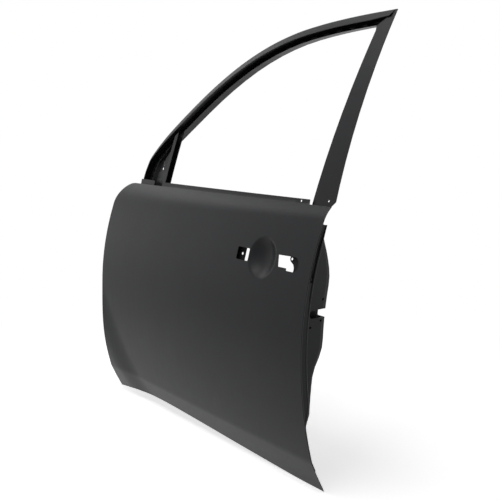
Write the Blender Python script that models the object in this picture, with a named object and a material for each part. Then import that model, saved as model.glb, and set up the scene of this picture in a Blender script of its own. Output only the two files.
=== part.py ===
"""Front left car door shell: a pressed outer skin hemmed round a deep drawn inner panel, the window
frame, and the reinforcements that are spot welded between them.

X runs rearward along the car, Y inboard and Z up. Every size is in metres. The shapes are worked out
in door coordinates (X from the skin's front edge, Y from its outermost line, Z from the sill line),
and an empty shifts them so that the part's origin lies on the upper hinge's bolting face.
"""
import math

import bmesh
import bpy
from mathutils import Vector

# Sheet and fits
SHEET = 0.0008
HEAVY_SHEET = 0.0016
GAP = 0.0003
LAP = SHEET + GAP

# Outer skin: outline
SKIN_LENGTH = 1.10
BELT_Z_REAR = 0.747
BELT_DROP = 0.009
SILL_CURVE = ((0.0, -0.0030), (0.115, 0.0145), (0.165, 0.0172), (0.330, 0.0214), (0.500, 0.0160),
              (0.700, 0.0053), (0.900, -0.0062), (1.000, -0.0115), (SKIN_LENGTH, -0.0127))
FRONT_CORNER_RADIUS = 0.075

# Outer skin: section and plan
CROWN_Z = 0.37
CROWN_ABOVE = 0.62
CROWN_BELOW = 0.47
PLAN_SWEEP = 0.022
SHOULDER_Z = 0.715
SHOULDER_DROP = 0.045
SHOULDER_REAR = 9.8
SHOULDER_FRONT = 4.0
FLARE = 0.013
FLARE_X = 0.20
FLARE_Z = 0.08
FLARE_SLANT = 0.62
FLARE_WIDTH = 0.16
CREASE_Z = 0.080
CREASE_SLOPE = 0.19

# Handle dish and its two apertures
DISH_X = SKIN_LENGTH - 0.201
DISH_Z = 0.597
DISH_RADIUS = 0.058
DISH_DEPTH = 0.022
APERTURE_Z = 0.5965
FRONT_APERTURE_LENGTH = 0.054
FRONT_APERTURE_HEIGHT = 0.034
REAR_APERTURE_START = DISH_X + DISH_RADIUS + 0.0085
REAR_APERTURE_END = REAR_APERTURE_START + 0.0845
REAR_APERTURE_HEIGHT = 0.038

# Hem round the inner panel's flange
HEM_WIDTH = 0.009
HEM_BULGE = 0.0006
HEM_GAP = 0.0005
HEM_DEPTH = 3 * SHEET + 2 * HEM_GAP
HEM_RELIEF = 0.045

# Window frame: outer face
FRAME_STANDOFF = 0.0159925
FRAME_SWEEP = 0.03
FRAME_LEAN = 0.25
FRAME_CURVE = 0.185
FRAME_Z = 0.745

# Header section
STRIP_WIDTH = 0.015
CHANNEL_WIDTH = 0.013
LIP_WIDTH = 0.003
CHANNEL_DEPTH = 0.034
LIP_DEPTH = 0.020
HEADER_DEPTH = 0.050
HEADER_RETURN = 0.012
FOOT_STRIP_WIDTH = 0.004
FOOT_CHANNEL_WIDTH = 0.0087
FOOT_LIP_WIDTH = 0.0073
HEADER_FOOT_Z = 0.665
SIGHT_SLOPE = 1.34
HEADER_FACE_LEFT = 0.0012

# Rear sash
SASH_REAR_X = SKIN_LENGTH - 0.005
SASH_FRONT_X = SKIN_LENGTH - 0.090
SASH_DEPTH = 0.040
SASH_RETURN = 0.010
SASH_CHANNEL_WIDTH = 0.016
SASH_CHANNEL_DEPTH = 0.020
SASH_BOX_START = 0.046
SASH_NECK_X = SKIN_LENGTH - 0.0385
SASH_NECK_Z = 0.695
SASH_TURN_Z = 0.750
SASH_FOOT_Z = 0.672
CORNER_X = SKIN_LENGTH + 0.0344
CORNER_Z = 1.2412
CORNER_INNER_X = SKIN_LENGTH - 0.021
CORNER_INNER_Z = 1.203

# Division channel and mirror patch
DIVISION_X = 0.2377
DIVISION_RAKE = 0.10
DIVISION_WIDTH = 0.017
DIVISION_DEPTH = 0.020
DIVISION_INNER_LEG = 0.021
DIVISION_FOOT_Z = 0.42
PATCH_FOOT_Z = 0.712
PATCH_APEX_Z = 0.900
PATCH_GROOVE = 0.030
PATCH_RIB = 0.016
PATCH_FACE = 0.020

# Inner panel: main wall plane and rings
WALL_Y = 0.1193
WALL_TILT = 0.06
WALL_SWEEP = 0.026
INNER_BELT_Z = 0.730
PAN_TOP_Z = 0.700
FLANGE_EDGE = 0.0015
FLANGE_WIDTH = 0.0125
STEP_INSET = 0.0145
STEP_DEPTH = 0.0285
STEP_LOW = 0.0075
REAR_WALL_INSET = 0.0253
LATCH_LAND = 0.023
FRONT_WALL_INSET = 0.046
BOTTOM_WALL_INSET = 0.042
MAIN_WALL_REAR = 0.150
MAIN_WALL_FRONT = 0.078
MAIN_WALL_BOTTOM = 0.095
LATCH_DEPTH = 0.096
LATCH_TOP_DEPTH = 0.016
LATCH_LOW_DEPTH = 0.0355
LATCH_LOW_SLOPE = 0.20
PAN_REAR_TOP_Z = 0.699
REAR_WALL_LEAN = 0.009

# Openings of the main wall
SERVICE_X = (0.30, SKIN_LENGTH - 0.20)
SERVICE_Z = (0.415, 0.640)
SERVICE_RADIUS = 0.045
SPEAKER_X = 0.330
SPEAKER_Z = 0.235
SPEAKER_RADIUS = 0.078
LOWER_OPENING_X = (0.560, SKIN_LENGTH - 0.260)
LOWER_OPENING_Z = (0.175, 0.330)
LOWER_OPENING_RADIUS = 0.035
OPENING_BORDER = 0.014
OPENING_STEP = 0.006
OPENING_LIP = 0.005

# Latch side
LATCH_Z = 0.469
LATCH_MOUTH_HEIGHT = 0.022
LATCH_MOUTH_START = 0.050
LATCH_HOLE_RADIUS = 0.0035
LATCH_PLATE_Z = (0.415, 0.525)

# Hinges and check link
HINGE_UPPER_Z = 0.600
HINGE_LOWER_Z = 0.215
HINGE_Y = 0.110
HINGE_PLATE_HEIGHT = 0.090
HINGE_PLATE_WIDTH = 0.056
HINGE_BOLT_PITCH = 0.044
BOLT_HOLE_RADIUS = 0.0045
CHECK_Z = 0.410
CHECK_PLATE_HEIGHT = 0.070
CHECK_BOLT_PITCH = 0.046
CHECK_SLOT_HEIGHT = 0.024
CHECK_SLOT_WIDTH = 0.014
CHECK_HOLE_RADIUS = 0.0035
NUT_WIDTH = 0.013
NUT_HEIGHT = 0.0075

# Side intrusion beam
BEAM_RADIUS = 0.0145
BEAM_WALL = 0.002
BEAM_FRONT = (0.105, 0.455)
BEAM_REAR = (SKIN_LENGTH - 0.065, 0.270)
BEAM_STANDOFF = 0.004
BRACKET_HEIGHT = 0.060
BRACKET_LENGTH = 0.080
PAD_XS = (0.34, 0.57, 0.80)
PAD_LENGTH = 0.050
PAD_HEIGHT = 0.020

# Rear glass channel
GUIDE_X = SKIN_LENGTH - 0.070
GUIDE_WIDTH = 0.016
GUIDE_DEPTH = 0.014
GUIDE_TOP_Z = 0.679
GUIDE_FOOT_Z = 0.440

# Surface colours
E_COAT = (0.035, 0.036, 0.038, 1.0)
MASTIC = (0.055, 0.052, 0.050, 1.0)


def smooth(low, high, value):
    """Runs from 0 at low to 1 at high along an S curve."""
    t = min(1.0, max(0.0, (value - low) / (high - low)))
    return t * t * (3.0 - 2.0 * t)


def blend(a, b, t):
    return a + (b - a) * t


def forward_share(x):
    """0 at the skin's rear edge and 1 at its front edge."""
    return (SKIN_LENGTH - x) / SKIN_LENGTH


def belt_z(x):
    return BELT_Z_REAR - BELT_DROP * forward_share(x)


def curve_value(stops, x):
    """Value at x of a smooth curve through (x, value) stops."""
    i = 0
    while i < len(stops) - 2 and x > stops[i + 1][0]:
        i += 1
    slopes = []
    for k in (i, i + 1):
        before = stops[max(0, k - 1)]
        after = stops[min(len(stops) - 1, k + 1)]
        slopes.append((after[1] - before[1]) / (after[0] - before[0]))
    (x0, v0), (x1, v1) = stops[i], stops[i + 1]
    span = x1 - x0
    t = (x - x0) / span
    rise = v1 * (3 * t * t - 2 * t ** 3) + v0 * (1 - 3 * t * t + 2 * t ** 3)
    return rise + span * (slopes[0] * (t - 2 * t * t + t ** 3) + slopes[1] * (t ** 3 - t * t))


def sill_z(x):
    return curve_value(SILL_CURVE, min(SKIN_LENGTH, max(0.0, x)))


def front_x(z):
    """Front edge of the skin, straight below and rounded where it meets the belt."""
    rise = z - (belt_z(0.0) - FRONT_CORNER_RADIUS)
    if rise <= 0.0:
        return 0.0
    rise = min(rise, FRONT_CORNER_RADIUS)
    return FRONT_CORNER_RADIUS - math.sqrt(FRONT_CORNER_RADIUS ** 2 - rise ** 2)


def side_y(x, z):
    """Outer face of the door's side: a crowned section, a swept plan, a rounded shoulder under the
    belt, a flare in the front lower corner and a soft crease above the sill."""
    u = forward_share(x)
    crown = CROWN_ABOVE if z > CROWN_Z else CROWN_BELOW
    y = crown * (z - CROWN_Z) ** 2 + PLAN_SWEEP * u * abs(u)
    shoulder = blend(SHOULDER_REAR, SHOULDER_FRONT, u)
    y += shoulder * max(0.0, z - SHOULDER_Z + SHOULDER_DROP * u) ** 2
    ahead = (FLARE_X - x) - FLARE_SLANT * (z - FLARE_Z)
    y -= FLARE * smooth(0.0, FLARE_WIDTH, ahead)
    y += CREASE_SLOPE * max(0.0, CREASE_Z - z)
    return y


def dish_y(x, z):
    """Extra depth of the skin inside the handle dish."""
    r = math.hypot(x - DISH_X, (z - DISH_Z) * 1.04) / DISH_RADIUS
    if r >= 1.0:
        return 0.0
    return DISH_DEPTH * (1.0 - r ** 2.4) ** 1.6


def off_side(x, z, distance):
    """Point at a distance inboard of the side's outer face, along its normal."""
    h = 0.001
    slope_x = (side_y(x + h, z) - side_y(x - h, z)) / (2 * h)
    slope_z = (side_y(x, z + h) - side_y(x, z - h)) / (2 * h)
    normal = Vector((-slope_x, 1.0, -slope_z)).normalized()
    return Vector((x, side_y(x, z), z)) + normal * distance


def frame_y(x, z):
    """Outer face of the window frame, which leans inboard more and more towards the roof."""
    u = forward_share(x)
    h = z - FRAME_Z
    belt_y = side_y(SKIN_LENGTH, FRAME_Z) + FRAME_STANDOFF
    return belt_y + FRAME_SWEEP * u * abs(u) + FRAME_LEAN * h + FRAME_CURVE * h * h


def wall_y(x, z):
    """Plane of the inner panel's main wall, on its outboard face."""
    return WALL_Y + WALL_TILT * z + WALL_SWEEP * (SKIN_LENGTH - x)


def step_depth(z):
    """Depth of the pan's first wall behind the skin: shallow along the sill and deeper above it."""
    return blend(STEP_LOW, STEP_DEPTH, smooth(0.165, 0.240, z))


def latch_y(z):
    """Inboard corner of the latch wall: shallow above the sill, deep beside the latch, and less
    deep again under the sash's foot."""
    low = STEP_LOW + 0.006 + LATCH_LOW_SLOPE * max(0.0, z - 0.185)
    rise = blend(0.0, LATCH_LOW_DEPTH - STEP_LOW - 0.006, smooth(0.165, 0.190, z))
    deep = blend(LATCH_DEPTH, LATCH_TOP_DEPTH, smooth(0.54, 0.745, z))
    depth = blend(low + rise, deep, smooth(0.305, 0.395, z))
    y = side_y(SKIN_LENGTH, z) + depth
    foot = frame_y(SASH_NECK_X, z) + LAP + GAP
    return blend(y, foot, smooth(0.650, SASH_FOOT_Z, z))


# Scene helpers

def clear_scene():
    for item in list(bpy.data.objects):
        bpy.data.objects.remove(item, do_unlink=True)


def make_material(name, colour, roughness, metallic):
    material = bpy.data.materials.new(name)
    material.use_nodes = True
    shader = material.node_tree.nodes["Principled BSDF"]
    shader.inputs["Base Color"].default_value = colour
    shader.inputs["Roughness"].default_value = roughness
    shader.inputs["Metallic"].default_value = metallic
    return material


def place(bm, name, material, parent):
    """Turns a bmesh into a named object under the door's empty."""
    mesh = bpy.data.meshes.new(name)
    bm.to_mesh(mesh)
    bm.free()
    item = bpy.data.objects.new(name, mesh)
    bpy.context.scene.collection.objects.link(item)
    item.data.materials.append(material)
    item.parent = parent
    return item


def add_grid(bm, rows):
    """Quads between rows of vertices, facing outboard when a row runs rearward and rows rise."""
    for lower, upper in zip(rows, rows[1:]):
        for i in range(len(lower) - 1):
            bm.faces.new((lower[i], lower[i + 1], upper[i + 1], upper[i]))


def new_row(bm, points):
    return [bm.verts.new(p) for p in points]


def solidify(item, thickness):
    modifier = item.modifiers.new("sheet_thickness", "SOLIDIFY")
    modifier.thickness = thickness
    modifier.offset = -1.0
    modifier.use_even_offset = True


def cut(item, cutter):
    modifier = item.modifiers.new("cut_" + cutter.name, "BOOLEAN")
    modifier.operation = "DIFFERENCE"
    modifier.object = cutter


def shade(item, angle=35.0):
    item.data.shade_smooth()
    item.data.set_sharp_from_angle(angle=math.radians(angle))


def prism(name, outline, axis, low, high, parent):
    """Closed cutter: an outline of (a, b) pairs in the plane across an axis, run from low to high."""
    def point(a, b, c):
        if axis == "X":
            return (c, a, b)
        return (a, c, b)
    return cutter_between(name, [point(a, b, low) for a, b in outline],
                          [point(a, b, high) for a, b in outline], parent)


def cutter_between(name, first, second, parent):
    """Closed cutter between two outlines of 3D points."""
    bm = bmesh.new()
    near = new_row(bm, first)
    far = new_row(bm, second)
    bm.faces.new(near)
    bm.faces.new(list(reversed(far)))
    for i in range(len(near)):
        j = (i + 1) % len(near)
        bm.faces.new((near[i], far[i], far[j], near[j]))
    bmesh.ops.recalc_face_normals(bm, faces=bm.faces)
    mesh = bpy.data.meshes.new(name)
    bm.to_mesh(mesh)
    bm.free()
    item = bpy.data.objects.new(name, mesh)
    bpy.context.scene.collection.objects.link(item)
    item.parent = parent
    item.hide_render = True
    item.display_type = "WIRE"
    return item


def circle(a, b, radius, count):
    steps = [2 * math.pi * i / count for i in range(count)]
    return [(a + radius * math.cos(t), b + radius * math.sin(t)) for t in steps]


def rounded_box(low_a, high_a, low_b, high_b, radius, steps):
    """Outline of a rectangle with round corners, counted anticlockwise."""
    corners = (
        (high_a - radius, high_b - radius, 0.0),
        (low_a + radius, high_b - radius, 0.5 * math.pi),
        (low_a + radius, low_b + radius, math.pi),
        (high_a - radius, low_b + radius, 1.5 * math.pi),
    )
    outline = []
    for a, b, start in corners:
        for i in range(steps + 1):
            t = start + 0.5 * math.pi * i / steps
            outline.append((a + radius * math.cos(t), b + radius * math.sin(t)))
    return outline


def sheet_section(path, thickness):
    """Closed outline of a bent sheet: the path is one face and the sheet lies on its left."""
    count = len(path)
    normals = []
    for (a0, b0), (a1, b1) in zip(path, path[1:]):
        length = math.hypot(a1 - a0, b1 - b0)
        normals.append((-(b1 - b0) / length, (a1 - a0) / length))
    back = []
    for i, (a, b) in enumerate(path):
        before = normals[max(0, i - 1)]
        after = normals[min(count - 2, i)]
        mean = (before[0] + after[0], before[1] + after[1])
        scale = 2.0 * thickness / (mean[0] ** 2 + mean[1] ** 2)
        back.append((a + mean[0] * scale, b + mean[1] * scale))
    return list(path) + back[::-1]


def sweep(name, sections, material, parent, angle=35.0):
    """Closed body through a row of closed outlines with equal numbers of 3D points."""
    bm = bmesh.new()
    rings = [new_row(bm, section) for section in sections]
    count = len(rings[0])
    for ring, following in zip(rings, rings[1:]):
        for i in range(count):
            j = (i + 1) % count
            bm.faces.new((ring[i], ring[j], following[j], following[i]))
    half = count // 2
    for ring in (rings[0], rings[-1]):
        for i in range(half - 1):
            bm.faces.new((ring[i], ring[i + 1], ring[count - 2 - i], ring[count - 1 - i]))
    bmesh.ops.recalc_face_normals(bm, faces=bm.faces)
    item = place(bm, name, material, parent)
    shade(item, angle)
    return item


# Outer skin

def stretch_lines(stops):
    """Lines through a row of (value, intervals before it) stops."""
    lines = [stops[0][0]]
    for (low, _), (high, count) in zip(stops, stops[1:]):
        lines += [blend(low, high, i / count) for i in range(1, count + 1)]
    return lines


def skin_columns():
    reach = DISH_RADIUS + 0.006
    return stretch_lines(((0.0, 0), (FLARE_X, 9), (DISH_X - reach, 7), (DISH_X + reach, 13), (SKIN_LENGTH, 2)))


def skin_levels(x):
    """Heights of the skin's lines at one place: sill, crease, crown, dish, shoulder and belt."""
    reach = DISH_RADIUS + 0.006
    return stretch_lines(((sill_z(x), 0), (CREASE_Z, 3), (DISH_Z - reach, 18), (DISH_Z + reach, 13),
                          (belt_z(x), 12)))


def skin_point(column, z):
    """Point of the skin; columns crowd together where the front edge is rounded."""
    x = blend(front_x(z), SKIN_LENGTH, column / SKIN_LENGTH)
    return Vector((x, side_y(x, z) + dish_y(x, z), z))


def hem_points(edge, inward):
    """Three points of the hem folded back behind one point of the skin's edge."""
    x, y, z = edge
    inner = off_side(x + inward[0] * HEM_WIDTH, z + inward[1] * HEM_WIDTH, HEM_DEPTH)
    fold = off_side(x, z, HEM_DEPTH)
    bulge = off_side(x, z, 0.5 * HEM_DEPTH)
    bulge -= Vector((inward[0], 0.0, inward[1])) * HEM_BULGE
    return bulge, fold, inner


def build_outer_skin(material, parent):
    columns = skin_columns()
    levels = [skin_levels(x) for x in columns]
    bm = bmesh.new()
    rows = []
    for j in range(len(levels[0])):
        rows.append(new_row(bm, [skin_point(x, levels[i][j]) for i, x in enumerate(columns)]))
    add_grid(bm, rows)

    upright = [j for j, row in enumerate(rows) if HEM_RELIEF < row[-1].co.z < PAN_TOP_Z - 0.018]
    rear = []
    front = []
    for j in upright:
        bulge, fold, inner = hem_points(rows[j][-1].co, (-1.0, 0.0))
        rear.append([rows[j][-1]] + new_row(bm, [bulge, fold, inner]))
        bulge, fold, inner = hem_points(rows[j][0].co, (1.0, 0.0))
        front.append(new_row(bm, [inner, fold, bulge]) + [rows[j][0]])
    add_grid(bm, rear)
    add_grid(bm, front)
    sill = [v for v in rows[0] if HEM_RELIEF < v.co.x < SKIN_LENGTH - HEM_RELIEF]
    folds = [hem_points(v.co, (0.0, 1.0)) for v in sill]
    add_grid(bm, [new_row(bm, [f[2] for f in folds]), new_row(bm, [f[1] for f in folds]),
                  new_row(bm, [f[0] for f in folds]), sill])

    item = place(bm, "outer_skin", material, parent)
    shade(item)
    solidify(item, SHEET)
    for cutter in aperture_cutters(parent):
        cut(item, cutter)
    return item


def aperture_cutters(parent):
    """The two cut-outs beside the handle dish, as cutters across the skin."""
    near_rim = DISH_X - DISH_RADIUS
    half = 0.5 * FRONT_APERTURE_HEIGHT
    front = rounded_box(near_rim - FRONT_APERTURE_LENGTH, near_rim - 0.001, APERTURE_Z - half,
                        APERTURE_Z + half, 0.004, 2)
    radius = 0.5 * REAR_APERTURE_HEIGHT
    rear = []
    for i in range(11):
        t = -0.5 * math.pi + math.pi * i / 10
        rear.append((REAR_APERTURE_END - radius + radius * math.cos(t), APERTURE_Z + radius * math.sin(t)))
    rear.append((REAR_APERTURE_START, APERTURE_Z + radius - 0.002))
    rear.append((REAR_APERTURE_START + 0.007, APERTURE_Z - radius + 0.006))
    rear.append((REAR_APERTURE_START + 0.040, APERTURE_Z - radius + 0.006))
    rear.append((REAR_APERTURE_START + 0.041, APERTURE_Z - radius))
    reach = 0.070
    return [prism("front_aperture_cutter", front, "Y", -reach, reach, parent),
            prism("rear_aperture_cutter", rear, "Y", -reach, reach, parent)]


# Inner panel

CORNER_STEPS = 3
UPRIGHT_STEPS = (2, 15, 11)


def sill_lines():
    """Places of the pan's lines along the sill: the skin's own, so the flange follows the hem."""
    shared = [x for x in skin_columns() if 0.04 < x < DISH_X - DISH_RADIUS]
    return [0.0335] + shared + [SKIN_LENGTH - 0.200, SKIN_LENGTH - 0.130, SKIN_LENGTH]


def upright_levels(low, top):
    """Heights along an upright of the pan, with one line on the skin's crease."""
    crown_top = 0.45
    first, second, third = UPRIGHT_STEPS
    return stretch_lines(((low, 0), (CREASE_Z, first), (crown_top, second), (top, third)))


def pan_ring(front, bottom, rear, radius, top_z, depth, rear_top_z=PAN_TOP_Z, lean=0.0):
    """One U-shaped line of the pan, inset from the skin's edges, from the belt's front end down,
    along the sill and up to the belt's rear end. depth(x, z) gives the point itself."""
    plan = []
    low_front = sill_z(front + radius) + bottom + radius
    for z in reversed(upright_levels(low_front, top_z)):
        corner = front_x(z) if top_z == PAN_TOP_Z and front < FRONT_WALL_INSET else 0.0
        plan.append((front + corner, z))
    for i in range(1, CORNER_STEPS + 1):
        t = 0.5 * math.pi * i / CORNER_STEPS
        plan.append((front + radius * (1 - math.cos(t)), low_front - radius * math.sin(t)))
    start_x = front + radius
    end_x = SKIN_LENGTH - rear - radius
    lines = sill_lines()
    for line in lines:
        x = line
        if start_x > lines[0] or line > end_x:
            x = blend(start_x, end_x, line / SKIN_LENGTH)
        plan.append((x, sill_z(x) + bottom))
    low_rear = sill_z(end_x) + bottom + radius
    for i in range(1, CORNER_STEPS + 1):
        t = 0.5 * math.pi * i / CORNER_STEPS
        plan.append((end_x + radius * math.sin(t), low_rear - radius * math.cos(t)))
    for z in upright_levels(low_rear, rear_top_z)[1:]:
        plan.append((SKIN_LENGTH - rear - lean * smooth(0.640, PAN_REAR_TOP_Z, z), z))
    return [depth(x, z) for x, z in plan]


def on_flange(x, z):
    return off_side(x, z, SHEET + HEM_GAP)


def on_step(x, z):
    return Vector((x, side_y(x, z) + step_depth(z), z))


def on_wall(x, z, offset=0.0):
    return Vector((x, wall_y(x, z) + offset, z))


def on_inner_corner(x, z):
    """Inboard corner of the pan's side walls: full depth at the hinge wall and along the sill,
    and the latch wall's own depth at the rear."""
    y = wall_y(x, z) - 0.006
    rear_share = smooth(SKIN_LENGTH - 0.26, SKIN_LENGTH - 0.07, x)
    return Vector((x, blend(y, latch_y(z), rear_share), z))


def between(first, second, share):
    """Ring of points at a share of the way from one ring to another."""
    return [a.lerp(b, share) for a, b in zip(first, second)]


def build_inner_panel(material, parent, cutters):
    bm = bmesh.new()
    rings = [
        pan_ring(FLANGE_EDGE, FLANGE_EDGE, FLANGE_EDGE, 0.006, PAN_TOP_Z, on_flange),
        pan_ring(FLANGE_WIDTH, FLANGE_WIDTH, FLANGE_WIDTH, 0.012, PAN_TOP_Z, on_flange),
        pan_ring(STEP_INSET, STEP_INSET, STEP_INSET, 0.016, PAN_TOP_Z, on_step),
        pan_ring(FRONT_WALL_INSET, BOTTOM_WALL_INSET - 0.006, REAR_WALL_INSET, 0.026, PAN_TOP_Z, on_step,
                 PAN_REAR_TOP_Z, REAR_WALL_LEAN),
    ]
    corner = pan_ring(FRONT_WALL_INSET, BOTTOM_WALL_INSET, REAR_WALL_INSET, 0.030, INNER_BELT_Z,
                      on_inner_corner, PAN_REAR_TOP_Z, REAR_WALL_LEAN)
    rings += [between(rings[-1], corner, 0.15), between(rings[-1], corner, 0.85), corner]
    rings += [
        pan_ring(FRONT_WALL_INSET + 0.006, BOTTOM_WALL_INSET + 0.008, REAR_WALL_INSET + LATCH_LAND, 0.040,
                 INNER_BELT_Z, on_inner_corner, PAN_REAR_TOP_Z),
        pan_ring(MAIN_WALL_FRONT, MAIN_WALL_BOTTOM, MAIN_WALL_REAR, 0.070, INNER_BELT_Z, on_wall, INNER_BELT_Z),
    ]
    rows = [new_row(bm, ring) for ring in rings]
    for outer, inner in zip(rows, rows[1:]):
        for i in range(len(outer) - 1):
            bm.faces.new((outer[i], outer[i + 1], inner[i + 1], inner[i]))
    fill = wall_outline_edges(bm, rows[-1])
    for outline, profile in main_wall_features():
        fill += add_feature(bm, outline, profile)
    bmesh.ops.triangle_fill(bm, edges=fill, use_beauty=True, normal=(0.0, -1.0, 0.0))
    bmesh.ops.recalc_face_normals(bm, faces=bm.faces)
    if sum(f.normal.y * f.calc_area() for f in bm.faces) > 0:
        bmesh.ops.reverse_faces(bm, faces=bm.faces)
    item = place(bm, "inner_panel", material, parent)
    shade(item)
    solidify(item, SHEET)
    for cutter in cutters:
        cut(item, cutter)
    return item


def wall_outline_edges(bm, ring):
    """Edges of the main wall's outline: the innermost ring, closed along the belt."""
    edges = []
    for first, second in zip(ring, ring[1:]):
        edges.append(bm.edges.get((first, second)))
    edges.append(bm.edges.new((ring[-1], ring[0])))
    return edges


def main_wall_features():
    """Openings and beads of the main wall: each a row of outlines with their depths."""
    features = []
    boxes = ((SERVICE_X, SERVICE_Z, SERVICE_RADIUS), (LOWER_OPENING_X, LOWER_OPENING_Z, LOWER_OPENING_RADIUS))
    for (x0, x1), (z0, z1), radius in boxes:
        outlines = []
        for grow in (OPENING_BORDER, OPENING_BORDER - 0.004, 0.0):
            outlines.append(rounded_box(x0 - grow, x1 + grow, z0 - grow, z1 + grow, radius + grow, 4))
        depths = (0.0, -OPENING_STEP, -OPENING_STEP)
        features.append((outlines, (depths, False)))
    rounds = []
    for grow in (0.022, 0.016, 0.002, 0.0):
        rounds.append(circle(SPEAKER_X, SPEAKER_Z, SPEAKER_RADIUS + grow, 24))
    features.append((rounds, ((0.0, 0.008, 0.008, 0.002), False)))
    for x0, x1, z0, z1 in ((0.135, 0.195, 0.33, 0.60), (0.45, 0.53, 0.12, 0.36), (0.30, 0.50, 0.685, 0.712),
                           (0.62, 0.82, 0.685, 0.712)):
        radius = 0.5 * min(x1 - x0, z1 - z0) - 0.001
        outer = rounded_box(x0, x1, z0, z1, radius, 3)
        inner = rounded_box(x0 + 0.005, x1 - 0.005, z0 + 0.005, z1 - 0.005, radius - 0.005, 3)
        features.append(([outer, inner], ((0.0, 0.004), True)))
    return features


def add_feature(bm, outlines, profile):
    """Adds the stepped loops of one feature and gives the edges that the wall is filled to."""
    depths, closed = profile
    loops = []
    for outline, depth in zip(outlines, depths):
        loops.append(new_row(bm, [on_wall(x, z, depth) for x, z in outline]))
    count = len(loops[0])
    for outer, inner in zip(loops, loops[1:]):
        for i in range(count):
            j = (i + 1) % count
            bm.faces.new((outer[i], outer[j], inner[j], inner[i]))
    if closed:
        bm.faces.new(loops[-1])
    first = loops[0]
    return [bm.edges.get((first[i], first[(i + 1) % count])) for i in range(count)]


# Window frame

PILLAR_POINTS = (
    (0.0985, 0.640), (0.0985, 0.700), (0.1025, 0.756), (0.1125, 0.796), (0.1312, 0.8315), (0.2058, 0.9031),
    (0.3351, 1.0015), (0.4405, 1.0732),
)
ROOF_POINTS = ((0.5878, 1.1323), (0.4822, 1.1760), (0.3773, 1.2048), (0.2738, 1.2212), (0.1752, 1.2310),
               (0.0840, 1.2370), (0.0, CORNER_Z))
ROOF_REACH = 0.6939
HEADER_STEPS = 2


def header_curve():
    """Outer edge of the header; the roof's points are set back from the corner, and close up or
    spread out when the corner moves."""
    spread = (CORNER_X - PILLAR_POINTS[-1][0]) / ROOF_REACH
    return PILLAR_POINTS + tuple((CORNER_X - back * spread, z) for back, z in ROOF_POINTS)


def curve_point(points, t):
    """Point and direction on a smooth curve through the points, t counting them."""
    i = min(int(t), len(points) - 2)
    f = t - i
    p0 = points[max(0, i - 1)]
    p1 = points[i]
    p2 = points[i + 1]
    p3 = points[min(len(points) - 1, i + 2)]
    place_ = []
    slope = []
    for a, b, c, d in zip(p0, p1, p2, p3):
        m1 = 0.5 * (c - a)
        m2 = 0.5 * (d - b)
        place_.append(b * (2 * f ** 3 - 3 * f ** 2 + 1) + m1 * (f ** 3 - 2 * f ** 2 + f)
                      + c * (3 * f ** 2 - 2 * f ** 3) + m2 * (f ** 3 - f ** 2))
        slope.append(b * (6 * f ** 2 - 6 * f) + m1 * (3 * f ** 2 - 4 * f + 1)
                     + c * (6 * f - 6 * f ** 2) + m2 * (3 * f ** 2 - 2 * f))
    length = math.hypot(slope[0], slope[1])
    return place_, (slope[0] / length, slope[1] / length)


def header_stations():
    """Outer point, direction towards the window and stretch of each header section."""
    stations = []
    curve = header_curve()
    last = len(curve) - 1
    for i in range(HEADER_STEPS, (last - 1) * HEADER_STEPS + 1):
        (x, z), (ux, uz) = curve_point(curve, i / HEADER_STEPS)
        stations.append(((x, z), (uz, -ux), 1.0))
    (x, z), direction, stretch = stations[0]
    stations[0] = ((x, HEADER_FOOT_Z), direction, stretch)
    full = STRIP_WIDTH + CHANNEL_WIDTH + LIP_WIDTH
    mitre = (CORNER_INNER_X - CORNER_X, CORNER_INNER_Z - CORNER_Z)
    length = math.hypot(*mitre)
    end = (CORNER_X - 2 * GAP, CORNER_Z)
    stations.append((end, (mitre[0] / length, mitre[1] / length), length / full))
    return stations


def header_end_cutter(parent):
    """Wedge that cuts the header's deep walls back from the corner, so only its face reaches the
    mitre."""
    outlines = []
    for z in (1.16, 1.27):
        edge = sash_rear_x(z)
        face = frame_y(edge, z) + HEADER_FACE_LEFT
        back = face + HEADER_DEPTH + 0.02
        tip = edge - SIGHT_SLOPE * (back - face)
        plan = [(edge, face), (edge + 0.06, face), (edge + 0.06, back), (tip, back)]
        outlines.append([(x, y, z) for x, y in plan])
    return cutter_between("header_end_cutter", outlines[0], outlines[1], parent)


def header_widths(z):
    """Widths of strip, channel and lip: narrow at the foot and full along the pillar and roof."""
    t = smooth(0.78, 0.98, z)
    return (blend(FOOT_STRIP_WIDTH, STRIP_WIDTH, t), blend(FOOT_CHANNEL_WIDTH, CHANNEL_WIDTH, t),
            blend(FOOT_LIP_WIDTH, LIP_WIDTH, t))


def header_depth(x, z):
    """Full depth of the header's box; below the belt it reaches the inner panel's wall."""
    to_wall = wall_y(x, z) - frame_y(x, z) - 2 * GAP
    return blend(to_wall, HEADER_DEPTH, smooth(0.74, 0.84, z))


def on_frame(station, s, d):
    """Point of a section: s from its outer edge and d deep."""
    (x, z), direction, stretch = station
    px = x + direction[0] * s * stretch
    pz = z + direction[1] * s * stretch
    return Vector((px, frame_y(px, pz) + d, pz))


def build_header_outer(material, parent, cutter):
    sections = []
    for station in header_stations():
        strip, channel, lip = header_widths(station[0][1])
        path = [(0.0, HEADER_RETURN), (0.0, 0.0), (strip, 0.0), (strip, CHANNEL_DEPTH),
                (strip + channel, CHANNEL_DEPTH), (strip + channel, LIP_DEPTH),
                (strip + channel + lip, LIP_DEPTH)]
        outline = sheet_section(path, SHEET)
        sections.append([on_frame(station, s, d) for s, d in outline])
    item = sweep("header_outer", sections, material, parent)
    cut(item, cutter)
    return item


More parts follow.
